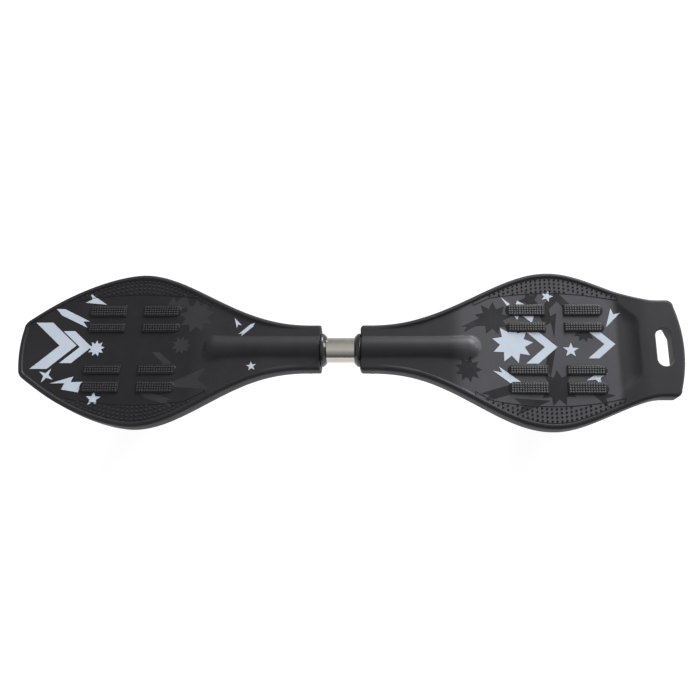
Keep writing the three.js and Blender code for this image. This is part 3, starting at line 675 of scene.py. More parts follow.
def deck_plastic(name, film, film_dust_and_sheen, film_dust_and_sheen_share):
    """The deck: satin moulded rim, and a smoother film over the foot panel, told apart by its attribute."""
    made, tree, shader = new_material(name)
    mask = add_node(tree, "Attribute", {}, attribute_name="film")["Fac"]
    rim_colour = handled(tree, DECK_BLACK, DECK_DUST, 0.25)
    film_colour_and_sheen = handled(tree, film, film_dust_and_sheen, film_dust_and_sheen_share, patch_size=14)
    rim = grain_of(tree, size=1300, roughness=0.56, change=0.12)
    film_grain = grain_of(tree, size=700, roughness=0.5, change=0.3)
    height = blended_value(tree, mask, rim["Height"], 0.5)
    feed(tree, shader, {
        "Base Color": blended_colour(tree, mask, rim_colour, film_colour_and_sheen),
        "Roughness": blended_value(tree, mask, rim["Roughness"], film_grain["Roughness"]),
        "Specular IOR Level": 0.28, "Normal": bumped(tree, height, 0.5, 0.05),
    })
    return made


DECK_BLACK = (0.018, 0.0168, 0.0192)
DECK_DUST = (0.045, 0.043, 0.049)
front_plastic = deck_plastic("front deck plastic", (0.010, 0.009, 0.0105), (0.03, 0.029, 0.034), 0.35)
# The rear film is painted much lighter than the front film, in lighter patches: a painted sheen. The front
# film keeps its own dark colour and dust.
rear_plastic_painted_sheen = deck_plastic("rear deck plastic with painted sheen", (0.062, 0.062, 0.069), (0.09, 0.09, 0.105), 0.45)
# The pads are painted darker than the deck: painted shade for the black valleys between the grip pyramids.
# The grip beads take the same colour.
pad_plastic = plastic("pad plastic", (0.010, 0.0095, 0.011), DECK_DUST, 0.4, dusty=0.15, specular=0.25)
# The grip pyramids are lighter than the pads they stand on, partly for wear on their tips and partly as a
# painted highlight; the rear grips, far lighter, are a painted highlight.
front_grip = plastic("front pad grip", (0.05, 0.048, 0.052), DECK_DUST, 0.34, dusty=0.3, specular=0.45)
rear_grip_painted_highlight = plastic("rear pad grip with painted highlight", (0.15, 0.15, 0.16), (0.07, 0.07, 0.075), 0.36, dusty=0.6, specular=0.5)
front_stud = plastic("front stud", (0.02, 0.0195, 0.022), DECK_DUST, 0.34, dusty=0.3, specular=0.45)
# The rear studs are painted darker than the front studs and the deck: painted shade.
rear_stud_painted_shade = plastic("rear stud with painted shade", (0.008, 0.0078, 0.009), (0.02, 0.02, 0.022), 0.5, dusty=0.2, specular=0.15)
cover_plastic = plastic("cover plastic", (0.014, 0.0136, 0.0145), DECK_DUST, 0.58, grain=900, depth=0.09)
under_plastic = plastic("underside plastic", (0.024, 0.0232, 0.025), DECK_DUST, 0.6, grain=800, depth=0.1)
# The slot wall is painted lighter than the deck it is moulded with: painted light on the wall that faces the
# lamps, with dust patches.
slot_wall_painted_light = plastic("slot wall plastic with painted light", (0.055, 0.05, 0.05), (0.1, 0.09, 0.088), 0.55, dusty=0.5, grain=500,
                      depth=0.12)
bush_nylon = plastic("bush nylon", (0.0065, 0.0065, 0.007), (0.03, 0.03, 0.032), 0.25, dusty=0.15, depth=0.01,
                     specular=0.6, change=0.06)
print_ink = plastic("print ink", (0.56, 0.62, 0.71), (0.28, 0.31, 0.36), 0.42, dusty=0.22, grain=700,
                    depth=0.02, specular=0.4)
dark_ghost_ink = plastic("dark ghost ink", (0.0125, 0.012, 0.0145), (0.05, 0.05, 0.056), 0.42, dusty=0.4,
                         grain=700, depth=0.02, specular=0.25)
pale_ghost_ink = plastic("pale ghost ink", (0.03, 0.0285, 0.031), (0.05, 0.05, 0.055), 0.42, dusty=0.4,
                         grain=700, depth=0.02, specular=0.25)
tube_steel = metal("tube steel", (0.56, 0.53, 0.49), (0.33, 0.31, 0.29), 0.16, stretch=(900, 30, 30))
spring_steel = metal("spring steel", (0.09, 0.09, 0.1), (0.05, 0.045, 0.04), 0.42, dusty=0.35)
zinc = metal("zinc", (0.5, 0.5, 0.49), (0.3, 0.29, 0.27), 0.36, stretch=(400, 400, 400), dusty=0.3)
fork_alloy = metal("fork alloy", (0.42, 0.43, 0.45), (0.26, 0.26, 0.27), 0.38, stretch=(500, 500, 500),
                   dusty=0.3, depth=0.03)
bearing_steel = metal("bearing steel", (0.58, 0.57, 0.55), (0.34, 0.33, 0.31), 0.18, stretch=(200, 900, 200))
seal_rubber = plastic("bearing seal", (0.012, 0.012, 0.013), (0.05, 0.05, 0.05), 0.5, dusty=0.3)
tyre_urethane = plastic("tyre urethane", (0.024, 0.025, 0.03), (0.12, 0.115, 0.11), 0.38, dusty=0.4,
                        grain=900, depth=0.06, specular=0.5)
core_plastic = plastic("wheel core", (0.62, 0.63, 0.64), (0.36, 0.35, 0.33), 0.42, dusty=0.3, grain=900,
                       depth=0.04, specular=0.5)


# Decks

front = SimpleNamespace(
    prefix="front", side=-1, reach=418, bulge=2.5, corner=6, neck_corner=2, end_half=35.5, end_top=8,
    end_bottom=-15, swivel_reach=285, spine_end=388, film_start=172, panel_end=418, strip_bow=9.5,
    finish=front_plastic, grip_finish=front_grip, stud_finish=front_stud,
    narrowing=lambda reach: progress(reach, FLARE_END, 418) ** 1.68,
)
rear = SimpleNamespace(
    prefix="rear", side=1, reach=426, bulge=8, corner=9, neck_corner=4.5, end_half=64, end_top=13,
    end_bottom=-9, swivel_reach=245, spine_end=372, film_start=136, panel_end=350, strip_bow=11.5,
    finish=rear_plastic_painted_sheen, grip_finish=rear_grip_painted_highlight, stud_finish=rear_stud_painted_shade,
    narrowing=lambda reach: eased(reach, FLARE_END + 3, 402),
)


def half_width(deck, reach):
    flared = mix(NECK_HALF, FOOT_HALF, eased(reach, FLARE_START, FLARE_END) ** FLARE_POWER)
    return flared - (FOOT_HALF - deck.end_half) * deck.narrowing(reach)


def outline_half(deck, reach):
    """Half width of a deck with the corners at its end rounded."""
    past = progress(reach, deck.reach - deck.corner, deck.reach)
    return half_width(deck, reach) - deck.corner * (1 - np.sqrt(1 - past * past))


def corner_scale(deck, reach):
    """How much narrower a neck gets towards its face, where its upright corners are rounded."""
    return 1 - round_drop(reach - NECK_FACE, deck.neck_corner) / NECK_HALF


def rim_height(deck, reach):
    """Height of the rim, which is level with the panel at the neck face and rises out of it further on."""
    sunk = (NECK_TOP - NECK_FLOOR) * (1 - eased(reach, *PANEL_SINK))
    level = mix(NECK_TOP, FOOT_TOP, eased(reach, *TOP_FALL)) - sunk
    return level + (deck.end_top - FOOT_TOP) * eased(reach, *TAIL_RISE)


def bottom_height(deck, reach):
    fallen = mix(NECK_BOTTOM, SKIRT_BOTTOM, eased(reach, *BOTTOM_FALL))
    return fallen + (deck.end_bottom - SKIRT_BOTTOM) * eased(reach, *TAIL_RISE)


def floor_height(deck, reach, across):
    """Height of the recessed panel, with the hollow ramp up to the tail handle: a square of the way up it."""
    floor = mix(NECK_FLOOR, FOOT_FLOOR, eased(reach, *TOP_FALL))
    if deck is front:
        return floor
    past = np.maximum(np.abs(across) - CREASE_FLAT, 0) / CREASE_BOW
    ramp_end = CREASE_REACH - CREASE_SETBACK * np.tanh(past ** 2)
    climb = progress(reach, ramp_end - RAMP_LENGTH, ramp_end)
    return mix(floor, rim_height(deck, reach), climb ** 2)


def panel_height(deck, reach, across):
    """The panel and the ridge over the tube: a half round that ends in a quarter ball, with a fillet."""
    floor = floor_height(deck, reach, across)
    past = np.maximum(reach - RIDGE_STRAIGHT_END, 0)
    ridge = np.sqrt(np.maximum(RIDGE_RADIUS ** 2 - past ** 2 - across ** 2, 0))
    closeness = np.maximum(RIDGE_FILLET - np.abs(ridge - floor), 0)
    return np.maximum(ridge, floor) + closeness ** 2 / (4 * RIDGE_FILLET)


def outline_path(deck):
    """Half of a deck's plan outline, from the neck face to the middle of the end.

    The side is the half width at each reach, pulled back where the end is bowed. The end is a low parabola.
    """
    straight_end = deck.reach - deck.corner
    corner = straight_end + deck.corner * np.sin(np.linspace(0, QUARTER_TURN, CORNER_POINTS))
    reach = np.concatenate([np.linspace(NECK_FACE, straight_end, SIDE_POINTS)[:-1], corner])
    half = outline_half(deck, reach)
    bow = deck.bulge * eased(reach, deck.reach - END_BOW_LENGTH, deck.reach)
    across = np.linspace(half[-1], 0, END_POINTS)[1:]
    end = np.column_stack([deck.reach - deck.bulge * (across / half[-1]) ** 2, across])
    return np.concatenate([np.column_stack([reach - bow, half]), end])


def half_outline(deck):
    """Plan points along half of a deck's outline, and smoothed directions into the deck there."""
    path = outline_path(deck)
    length = run_length(path)
    steps = np.arange(0, length[-1], OUTLINE_STEP)
    tangent = np.gradient(sampled(path, length, steps), axis=0)
    inward = np.column_stack([tangent[:, 1], -tangent[:, 0]])
    window = np.hanning(SMOOTHED_STEPS)
    past_middle = inward[::-1] * [1, -1]
    smooth = smoothed(np.concatenate([inward, past_middle]), window / window.sum())[:len(inward)]
    smooth[:SMOOTHED_STEPS // 2 + 1] = inward[SMOOTHED_STEPS]
    fine_neck = deck.neck_corner * (1 - np.cos(np.linspace(0, QUARTER_TURN, 8)))
    mouth_end = [MOUTH_END - NECK_FACE] * 2
    coarse = np.arange(FIRST_ROW, length[-1] - FINE_LENGTH, ROW_PITCH)
    fine = np.arange(length[-1] - FINE_LENGTH, length[-1], FINE_ROW_PITCH)
    rows = np.sort(np.concatenate([fine_neck, mouth_end, coarse, fine, [length[-1]]]))
    return sampled(path, length, rows), unit(sampled(unit(smooth), steps, rows))


def spread(corners, counts):
    """Points spread evenly along each leg between neighbouring corners of every row."""
    parts = [corners[:, :1]]
    for leg, count in enumerate(counts):
        start, end = corners[:, leg:leg + 1], corners[:, leg + 1:leg + 2]
        parts.append(start + (end - start) * (np.arange(1, count + 1) / count)[:, None])
    return np.concatenate(parts, axis=1)


def inset_rows(plan, ways, distances):
    """Each plan point moved inwards by each of several distances."""
    return plan[:, None] + ways[:, None] * np.asarray(distances, float)[None, :, None]


def rows_to_spine(start, spine, count):
    """Evenly spaced points from the end of each row to its place on the deck's middle line."""
    share = (np.arange(1, count + 1) / count)[None, :, None]
    target = np.column_stack([spine, np.zeros_like(spine)])[:, None]
    return start[:, None] + (target - start[:, None]) * share


def deck_top(deck, plan, ways, spine):
    """Rows from the wall's foot over the round rim and the step down to the panel, in to the middle."""
    reach = plan[:, 0]
    rim_top = rim_height(deck, reach)[:, None]
    low = bottom_height(deck, reach)[:, None]
    wall = inset_rows(plan, ways, SKIRT_TUCK * (1 - WALL_SHARES) + WALL_FOOT_ROUND)
    wall_z = low + (rim_top - RIM_ROUND - low) * WALL_SHARES
    arc = np.linspace(0, QUARTER_TURN, 8)
    rim = inset_rows(plan, ways, RIM_ROUND * (1 - np.cos(arc)))
    rim_z = rim_top - RIM_ROUND + RIM_ROUND * np.sin(arc)
    step = inset_rows(plan, ways, STEP_INSETS)
    panel = panel_height(deck, step[..., 0], step[..., 1])
    step_down = eased(STEP_INSETS, STEP_INSETS[0], STEP_INSETS[-2])
    step_z = np.maximum(mix(rim_height(deck, step[..., 0]), panel, step_down), panel)
    inner = rows_to_spine(step[:, -1], spine, PANEL_POINTS)
    inner_z = panel_height(deck, inner[..., 0], inner[..., 1])
    top = np.dstack([np.hstack([wall, rim, step, inner]), np.hstack([wall_z, rim_z, step_z, inner_z])])
    top[..., 1] *= corner_scale(deck, reach)[:, None]
    top[..., 2] -= round_drop(reach - NECK_FACE, NECK_EDGE)[:, None] * (top[..., 2] > 0)
    return top


def neck_channel(deck, reach, columns):
    """The inside of the neck: up the inner wall, in to the tube's bore and a quarter of the way round it."""
    arch = np.linspace(0, QUARTER_TURN, columns - sum(NECK_LEG_POINTS))[1:, None]
    bore = np.where(reach < MOUTH_END, MOUTH_RADIUS, BORE_RADIUS)
    bore[np.searchsorted(reach, MOUTH_END)] = MOUTH_RADIUS
    wall = NECK_INNER_HALF * corner_scale(deck, reach)
    flat = np.full_like(reach, NECK_BOTTOM)
    across = np.concatenate([[wall, wall, bore, bore], bore * np.cos(arch)])
    height = np.concatenate([[bottom_height(deck, reach), flat, flat, 0 * reach], bore * np.sin(arch)])
    corners = np.dstack([np.broadcast_to(reach, across.shape), across, height])
    return spread(np.swapaxes(corners, 0, 1), NECK_LEG_POINTS + [1] * len(arch))


def hollow_skin(deck, plan, ways, spine, columns):
    """The inside of the hollow: up the wall, over a round edge and across under the panel to the middle."""
    edge = np.linspace(0, QUARTER_TURN, 9)
    insets = np.concatenate([[SKIRT_WALL + SKIRT_TUCK], SKIRT_WALL + CAVITY_ROUND * (1 - np.cos(edge))])
    wall = inset_rows(plan, ways, insets)
    roof = rows_to_spine(wall[:, -1], spine, columns - len(insets))
    ceiling = floor_height(deck, wall[..., 0], 0) - SKIN
    wall_z = ceiling - CAVITY_ROUND + CAVITY_ROUND * np.concatenate([[0], np.sin(edge)])
    wall_z[:, 0] = bottom_height(deck, plan[:, 0])
    roof_z = floor_height(deck, roof[..., 0], 0) - SKIN
    return np.dstack([np.hstack([wall, roof]), np.hstack([wall_z, roof_z])])


def deck_shell(deck):
    """A deck as one closed skin whose rows run round its outline.

    Each row goes from the middle of the top out over the rim, down the wall, back up inside the hollow, or
    round the bore in the neck, and in to the middle.
    """
    plan, ways = half_outline(deck)
    seam = int(np.searchsorted(plan[:, 0], CAVITY_START))
    plan = np.insert(plan, seam, [[CAVITY_START, outline_half(deck, CAVITY_START)]] * 2, axis=0)
    ways = np.insert(ways, seam, [ways[seam]] * 2, axis=0)
    reach, half = plan[:, 0], plan[:, 1]

    to_end = (deck.reach - reach) + np.minimum(half, outline_half(deck, deck.reach))
    softness = deck.reach + deck.end_half - deck.corner - deck.spine_end
    travel = np.sqrt(to_end ** 2 + softness ** 2) - softness
    spine = deck.spine_end - travel * (deck.spine_end - NECK_FACE) / travel[0]

    top = deck_top(deck, plan, ways, spine)
    columns = top.shape[1]
    in_neck = (np.arange(len(plan)) <= seam)[:, None, None]
    under = np.where(in_neck, neck_channel(deck, reach, columns),
                     hollow_skin(deck, plan, ways, spine, columns))
    rows = np.hstack([top[:, ::-1], under]) * [deck.side, 1, 1]
    return closed_grid(np.concatenate([rows, rows[-2::-1] * [1, -1, 1]]), wrap_columns=False)


def slot_outline(margin):
    """A racetrack round the hand slot: two half circles joined by straight sides."""
    angle = np.linspace(0, math.pi, 25)
    radius = SLOT_RADIUS + margin
    half = np.column_stack([SLOT_REACH + radius * np.cos(angle), SLOT_STRAIGHT + radius * np.sin(angle)])
    return np.concatenate([half, [[2 * SLOT_REACH, 0]] - half])


def slot_wall():
    """The wall round the hand slot: a closed section carried round it, deeper on the side of the grip."""
    outline = slot_outline(0)
    inward = inward_of(outline)
    drop = SLOT_DROP * eased(outline[:, 0], *SLOT_DROP_SPAN)
    points = np.stack([np.column_stack([outline + inward * inset, height - drop * share])
                       for inset, height, share in SLOT_SECTION])
    return grid_shape(points, wrap_rows=True, wrap_columns=True)


def strip_inner(deck, reach):
    """Inner edge of a grip strip: a parabola, nearest the middle of the deck at its two ends."""
    return STRIP_INNER - deck.strip_bow * ((reach - STRIP_MIDDLE) / STRIP_SPAN) ** 2


def strip_outer(deck, reach):
    return half_width(deck, reach) - STRIP_OUTER_INSET


def grip_studs(deck):
    """Low round studs in rows that follow the deck's edge, kept where the strip is wide enough."""
    first, last = STUD_END_MARGINS
    reach = np.arange(STRIP_START + first, STRIP_END - last, STUD_PITCH)[:, None]
    across = strip_outer(deck, reach) - STUD_OUTER_MARGIN - STUD_ROW_PITCH * np.arange(STUD_ROWS)[None]
    fits = across > strip_inner(deck, reach) + STUD_INNER_MARGIN
    reach, across = np.broadcast_to(reach, across.shape)[fits], across[fits]
    places = np.column_stack([deck.side * reach, across, floor_height(deck, reach, across)])
    return copies(turned(STUD, sides=8), np.concatenate([places, places * [1, -1, 1]]))


def grip_bead(deck):
    """The thin raised line round each grip strip: a half round carried along the strip's softened outline."""
    reach = np.linspace(STRIP_START, STRIP_END, 180)
    outer = strip_outer(deck, reach)
    inner = np.minimum(strip_inner(deck, reach), outer - STRIP_LEAST_WIDTH)
    loop = np.concatenate([np.column_stack([reach, outer]), np.column_stack([reach, inner])[::-1]])
    loop = np.concatenate([loop, loop[:1]])
    length = run_length(loop)
    path = sampled(loop, length, np.linspace(0, length[-1], BEAD_POINTS, endpoint=False))
    path = smoothed(np.concatenate([path[-4:], path, path[:4]]), np.ones(5) / 5)[4:-4]
    plan = path[:, None] + inward_of(path)[:, None] * BEAD_SECTION[None, :, :1]
    height = floor_height(deck, plan[..., 0], plan[..., 1]) + BEAD_SECTION[None, :, 1]
    points = np.dstack([plan * [deck.side, 1], height])
    return [grid_shape(points * [1, side, 1], wrap_rows=True, wrap_columns=True) for side in (1, -1)]


def foot_pads(deck):
    """The eight foot pads and their grip: rounded plateaus, and rows of small four-sided pyramids on them."""
    bases, grips = [], []
    pyramid = turned(PYRAMID, sides=4, start=math.pi / 4)
    for row, width, lines in PAD_ROWS:
        half = width / 2
        round_start = PAD_LENGTH - half
        turn = np.linspace(-QUARTER_TURN, QUARTER_TURN, 17)
        arc = np.column_stack([round_start + half * np.cos(turn), half * np.sin(turn)])
        lower = [(x, inset - half) for x, inset in PAD_CORNER]
        upper = [(x, half - inset) for x, inset in PAD_CORNER]
        base = slab(np.concatenate([upper[:1], lower, arc, upper[:0:-1]]), PAD_EDGE)
        along = PYRAMID_PITCH * (np.arange(PYRAMIDS_ALONG) + 0.5) + PYRAMID_START
        across = PYRAMID_PITCH * (np.arange(lines) - (lines - 1) / 2)
        x, y = (axis.ravel() for axis in np.meshgrid(along, across))
        inside = (x < round_start) | (np.hypot(x - round_start, y) < half - PYRAMID_MARGIN)
        tips = copies(pyramid, np.column_stack([x, y, np.full_like(x, PAD_PLATEAU)])[inside])
        for outward in (-1, 1):
            for side in (-1, 1):
                place = Matrix.Translation((deck.side * PAD_MIDDLE + outward * PAD_INNER_END, side * row, 0))
                if outward < 0:
                    place = place @ Matrix.Rotation(math.pi, 4, "Z")
                bases.append(placed(base, place))
                grips.append(placed(tips, place))
    return bases, grips


def paint_film(made, deck):
    """Marks the foot panel between the grip strips, up to the foot of the ramp, in the film attribute; the
    rear film's lighter colour there is a painted sheen.
    """
    mesh = made.data
    points = np.empty(len(mesh.vertices) * 3)
    mesh.vertices.foreach_get("co", points)
    points = points.reshape(-1, 3) / METRE - BOARD_ORIGIN
    reach, across, height = deck.side * points[:, 0], np.abs(points[:, 1]), points[:, 2]
    edge = half_width(deck, reach) - FILM_INSET
    inside = 1 - eased(across, edge - FILM_EDGE, edge)
    inside = inside * (1 - eased(reach, deck.panel_end - FILM_END_FADE, deck.panel_end))
    on_top = height > floor_height(deck, reach, across) - SKIN / 2
    inside = inside * eased(reach, deck.film_start, deck.film_start + FILM_FADE) * on_top
    film = mesh.attributes.new("film", "FLOAT", "POINT")
    film.data.foreach_set("value", inside.astype(np.float32))


def add_deck(deck):
    shell = half_piece(deck, "deck_shell", deck.finish, [deck_shell(deck)], "deck")
    if deck is rear:
        carve(shell, [slab(slot_outline(SLOT_CUT_MARGIN), SLOT_CUT)])
        half_piece(deck, "slot_wall", slot_wall_painted_light, [slot_wall()])
    paint_film(shell, deck)
    bases, grips = foot_pads(deck)
    half_piece(deck, "foot_pads", pad_plastic, bases)
    half_piece(deck, "pad_grips", deck.grip_finish, grips)
    half_piece(deck, "grip_studs", deck.stud_finish, [grip_studs(deck)])
    half_piece(deck, "grip_bead", pad_plastic, grip_bead(deck))


# Thin prints on the panels: motif, reach, place across, size and turn in degrees

def star(points, inner):
    """A star's outline: points on two circles in turn."""
    angle = np.arange(2 * points) * math.pi / points
    radius = np.where(np.arange(2 * points) % 2 == 0, 1, inner)
    return np.column_stack([radius * np.cos(angle), radius * np.sin(angle)])


MOTIFS = {
    "chevron": [(-1, -1), (-0.3, -1), (0.8, 0), (-0.3, 1), (-1, 1), (0.1, 0)],
    "bolt": [(-0.35, 1), (0.4, 1), (0.1, 0.25), (0.5, 0.25), (-0.45, -1), (-0.1, -0.1), (-0.55, -0.1)],
    "stroke": [(-1, -0.14), (0.55, -0.2), (1, -0.04), (0.6, 0.16), (-0.9, 0.2), (-0.6, 0.04)],
    "wedge": [(-1, -0.5), (1, 0), (-1, 0.5), (-0.55, 0)],
    "star": star(5, 0.42),
    "spark": star(4, 0.3),
    "burst": star(9, 0.6),
}
FRONT_PRINT = (
    ("chevron", 368, 4, 32, 180), ("chevron", 340, 2, 22, 180), ("burst", 316, 0, 11, 12),
    ("bolt", 349, -46, 20, 110), ("stroke", 352, 44, 26, 28), ("star", 312, -68, 10, 20),
    ("wedge", 322, 66, 14, 200), ("spark", 377, -37, 11, 30), ("stroke", 120, 24, 13, 140),
    ("star", 112, -26, 6.5, 10), ("wedge", 134, 34, 7, 60),
)
REAR_PRINT = (
    ("burst", 216, 6, 26, 5), ("chevron", 254, 2, 22, 0), ("bolt", 222, 52, 24, 250),
    ("stroke", 214, -42, 26, 325), ("star", 288, -2, 10, 15), ("chevron", 328, 6, 19, 0),
    ("spark", 318, -37, 14, 20), ("wedge", 340, 40, 13, 240), ("star", 262, 71, 8, 0),
)
FRONT_GHOST_PRINT = (
    ("burst", 188, 44, 24, 8), ("wedge", 196, -46, 30, 350), ("bolt", 222, 60, 22, 70),
    ("chevron", 228, -20, 15, 180), ("stroke", 232, -66, 24, 20), ("burst", 205, 4, 13, 20),
)
REAR_GHOST_PRINT = (
    ("burst", 192, 40, 23, 8), ("stroke", 205, -56, 34, 20), ("chevron", 274, 62, 20, 90),
    ("bolt", 266, 38, 22, 30), ("burst", 270, -52, 24, 12), ("wedge", 238, -72, 22, 10),
    ("star", 240, 66, 15, 40), ("burst", 160, -29, 17, 0), ("stroke", 262, -14, 24, 80),
    ("stroke", 172, 34, 22, 30), ("wedge", 318, -60, 18, 150), ("burst", 306, 22, 14, 0),
)


def print_sheet(deck, motif, reach, across, size, turn, rise):
    """A printed motif as a thin closed film: its outline is cut into small cells, which follow the panel."""
    angle = math.radians(turn)
    spin = np.array([[math.cos(angle), -math.sin(angle)], [math.sin(angle), math.cos(angle)]])
    outline = np.array(MOTIFS[motif]) @ spin.T * size + [reach, across]
    work = bmesh.new()
    work.faces.new([work.verts.new((x, y, 0)) for x, y in outline])
    ways = (Vector((1, 0, 0)), Vector((0, 1, 0)))
    for low, high, way in zip(outline.min(axis=0), outline.max(axis=0), ways):
        for cut in np.arange(low + PRINT_CELL, high, PRINT_CELL):
            bmesh.ops.bisect_plane(work, geom=[*work.verts, *work.edges, *work.faces],
                                   plane_co=way * cut, plane_no=way)
    bmesh.ops.triangulate(work, faces=work.faces)
    work.verts.index_update()
    plan = np.array([vertex.co[:2] for vertex in work.verts])
    faces = np.array([[vertex.index for vertex in face.verts] for face in work.faces])
    border = [[vertex.index for vertex in edge.verts] for edge in work.edges if edge.is_boundary]
    work.free()
    height = panel_height(deck, plan[:, 0], plan[:, 1])
    above = np.column_stack([deck.side * plan[:, 0], plan[:, 1], height + rise])
    below = above - [0, 0, rise + PRINT_DEPTH]
    faces = np.column_stack([faces, faces[:, 2]])
    start, end = np.transpose(border)
    sides = np.column_stack([start, end, end + len(plan), start + len(plan)])
    return np.concatenate([above, below]), np.concatenate([faces, faces + len(plan), sides])


def add_print(deck, label, finish, motifs, rise):
    """All prints of one colour on a deck, each a little higher than the one before."""
    sheets = [print_sheet(deck, *motif, rise + PRINT_STEP * layer) for layer, motif in enumerate(motifs)]
    half_piece(deck, label, finish, sheets)


# Undersides and necks

def caster_matrix(deck):
    """Frame of a caster: Z along its swivel axis, origin where that meets the top of the fork's crown."""
    spot = Matrix.Translation((deck.side * deck.swivel_reach, 0, -SWIVEL_DROP))
    return spot @ Matrix.Rotation(-SWIVEL_LEAN, 4, "Y")


def caster_block(deck):
    """The slanted block over a caster: its side view, cut off along the plate's face, carried across."""
    ends = (-BLOCK_HALF_LENGTH, BLOCK_HALF_LENGTH)
    low, high = [caster_matrix(deck) @ Vector((x, 0, BLOCK_FACE)) for x in ends]
    section = rounded([(low.x, low.z), (high.x, high.z), (high.x, RIB_TOP), (low.x, RIB_TOP)], BLOCK_EDGE)
    grid = extruded(section, -BLOCK_HALF_WIDTH, BLOCK_HALF_WIDTH, BLOCK_EDGE)
    return closed_grid(grid[..., [1, 0, 2]])


def tube_cradle(deck):
    """The cradle behind the neck: on each side a rounded block with the bore's quarter arch, and a plug."""
    outer = rounded([(0, CRADLE_TOP), (CRADLE_HALF, CRADLE_TOP), (CRADLE_HALF, NECK_BOTTOM),
                     (BORE_RADIUS, NECK_BOTTOM)], CRADLE_ROUND, closed=False)
    arch = np.linspace(0, QUARTER_TURN, len(outer))
    arch_y, arch_z = BORE_RADIUS * np.cos(arch), np.minimum(BORE_RADIUS * np.sin(arch), CRADLE_TOP - 1)
    half_ring = np.concatenate([outer, np.column_stack([arch_y, arch_z])])
    reaches = deck.side * np.array([CRADLE_START, CRADLE_END - 0.8, CRADLE_END - 0.2, CRADLE_END])
    grid = at_lengths(reaches, np.array([half_ring] * len(reaches)))
    plug = bar((deck.side * BORE_END, -BORE_RADIUS - 1, NECK_BOTTOM),
               (deck.side * CRADLE_END, BORE_RADIUS + 1, CRADLE_TOP))
    return [closed_grid(grid), closed_grid(grid * [1, -1, 1]), plug]


def add_underside(deck):
    """Ribs, caster block and tube cradle under a deck, all one moulding with it."""
    start, end = deck.side * np.array(LONG_RIB_ENDS)
    ribs = [bar((start, row - RIB_HALF, RIB_BOTTOM), (end, row + RIB_HALF, RIB_TOP))
            for row in (-LONG_RIB_ROW, LONG_RIB_ROW)]
    for reach in CROSS_RIB_REACHES:
        half = half_width(deck, reach) - CROSS_RIB_INSET
        place = Matrix.Translation((deck.side * reach, 0, 0)) @ Matrix.Rotation(QUARTER_TURN, 4, "Z")
        ribs.append(placed(bar((-half, -RIB_HALF, RIB_BOTTOM), (half, RIB_HALF, RIB_TOP)), place))
    half_piece(deck, "underside", under_plastic, [*ribs, caster_block(deck)])
    half_piece(deck, "tube_cradle", under_plastic, tube_cradle(deck))


def cover_shape(deck):
    """The cover under a neck: a chamfered trough with round edges, the tube's channel along its top."""
    ends, shrink = soft_ends(NECK_FACE, COVER_END, COVER_EDGE)
    corner = NECK_FACE + deck.neck_corner * np.linspace(0.2, 1, 5)
    places = np.sort(np.concatenate([ends, corner, [MOUTH_END, MOUTH_END, BORE_END, BORE_END]]))
    shrink = np.interp(places, ends, shrink)
    half = [(CRADLE_HALF, COVER_TOP), (CRADLE_HALF, COVER_BOTTOM + COVER_CHAMFER),
            (CRADLE_HALF - COVER_CHAMFER, COVER_BOTTOM)]
    outer = rounded(half + [(-y, z) for y, z in half[::-1]], 2 * COVER_EDGE, closed=False)
    angle = np.linspace(math.pi * 1.16, math.pi * 1.84, len(outer))
    radius = np.where(places < MOUTH_END, MOUTH_RADIUS, BORE_RADIUS)
    radius[np.flatnonzero(places == MOUTH_END)[0]] = MOUTH_RADIUS
    bore_y = radius[:, None] * np.cos(angle)
    bore_z = np.minimum(radius[:, None] * np.sin(angle), COVER_TOP)
    bore_z[np.flatnonzero(places == BORE_END)[1]:] = COVER_TOP
    middle = (COVER_TOP + COVER_BOTTOM) / 2
    outer_y = outer[:, 0] * ((1 - shrink / CRADLE_HALF) * corner_scale(deck, places))[:, None]
    outer_z = middle + (outer[:, 1] - middle) * (1 - shrink / (COVER_TOP - middle))[:, None]
    outer_z = np.where(outer[:, 1] == COVER_TOP, COVER_TOP, outer_z)
    rings = np.dstack([np.hstack([outer_y, bore_y]), np.hstack([outer_z, bore_z])])
    return closed_grid(at_lengths(deck.side * places, rings))


def cover_screw_places(deck, height):
    return [Matrix.Translation((deck.side * reach, row, height)) for reach in COVER_SCREW_REACHES
            for row in (-COVER_SCREW_ROW, COVER_SCREW_ROW)]


def bar_bolt_place(deck, height):
    return Matrix.Translation((deck.side * BAR_BOLT_REACH, 0, height))


def headed_hole(head, shank, seat):
    """A hole for a shank with a wider seat for its head, turned about Z, to cut from a face at z = 0."""
    return turned([(0, HOLE_START), (head, HOLE_START), (head, seat), (shank, seat), (shank, HOLE_END),
                   (0, HOLE_END)], sides=32)


def add_cover(deck):
    cover = half_piece(deck, "cover", cover_plastic, [cover_shape(deck)], "neck_cover", slot="cover_plastic")
    screw_hole = headed_hole(head=4.2, shank=2.3, seat=COVER_SCREW_SEAT)
    bolt_hole = headed_hole(head=5.9, shank=3.4, seat=BAR_BOLT_SEAT)
    holes = [placed(screw_hole, place) for place in cover_screw_places(deck, COVER_BOTTOM)]
    carve(cover, [*holes, placed(bolt_hole, bar_bolt_place(deck, COVER_BOTTOM))])


def socket_head(radius, height, shank, length):
    """A cap screw, head below z = 0: a disc with round edges, a hexagon socket and a plain shank."""
    return turned([
        (0, -height * 0.45), (radius * 0.5, -height * 0.45, 1), (radius * 0.52, -height * 0.96, 1),
        (radius * 0.62, -height, 0), (radius * 0.86, -height), (radius * 0.97, -height * 0.9),
        (radius, -height * 0.75), (radius, -0.15), (radius * 0.97, 0), (shank, 0), (shank, length),
        (0, length),
    ], sides=36)


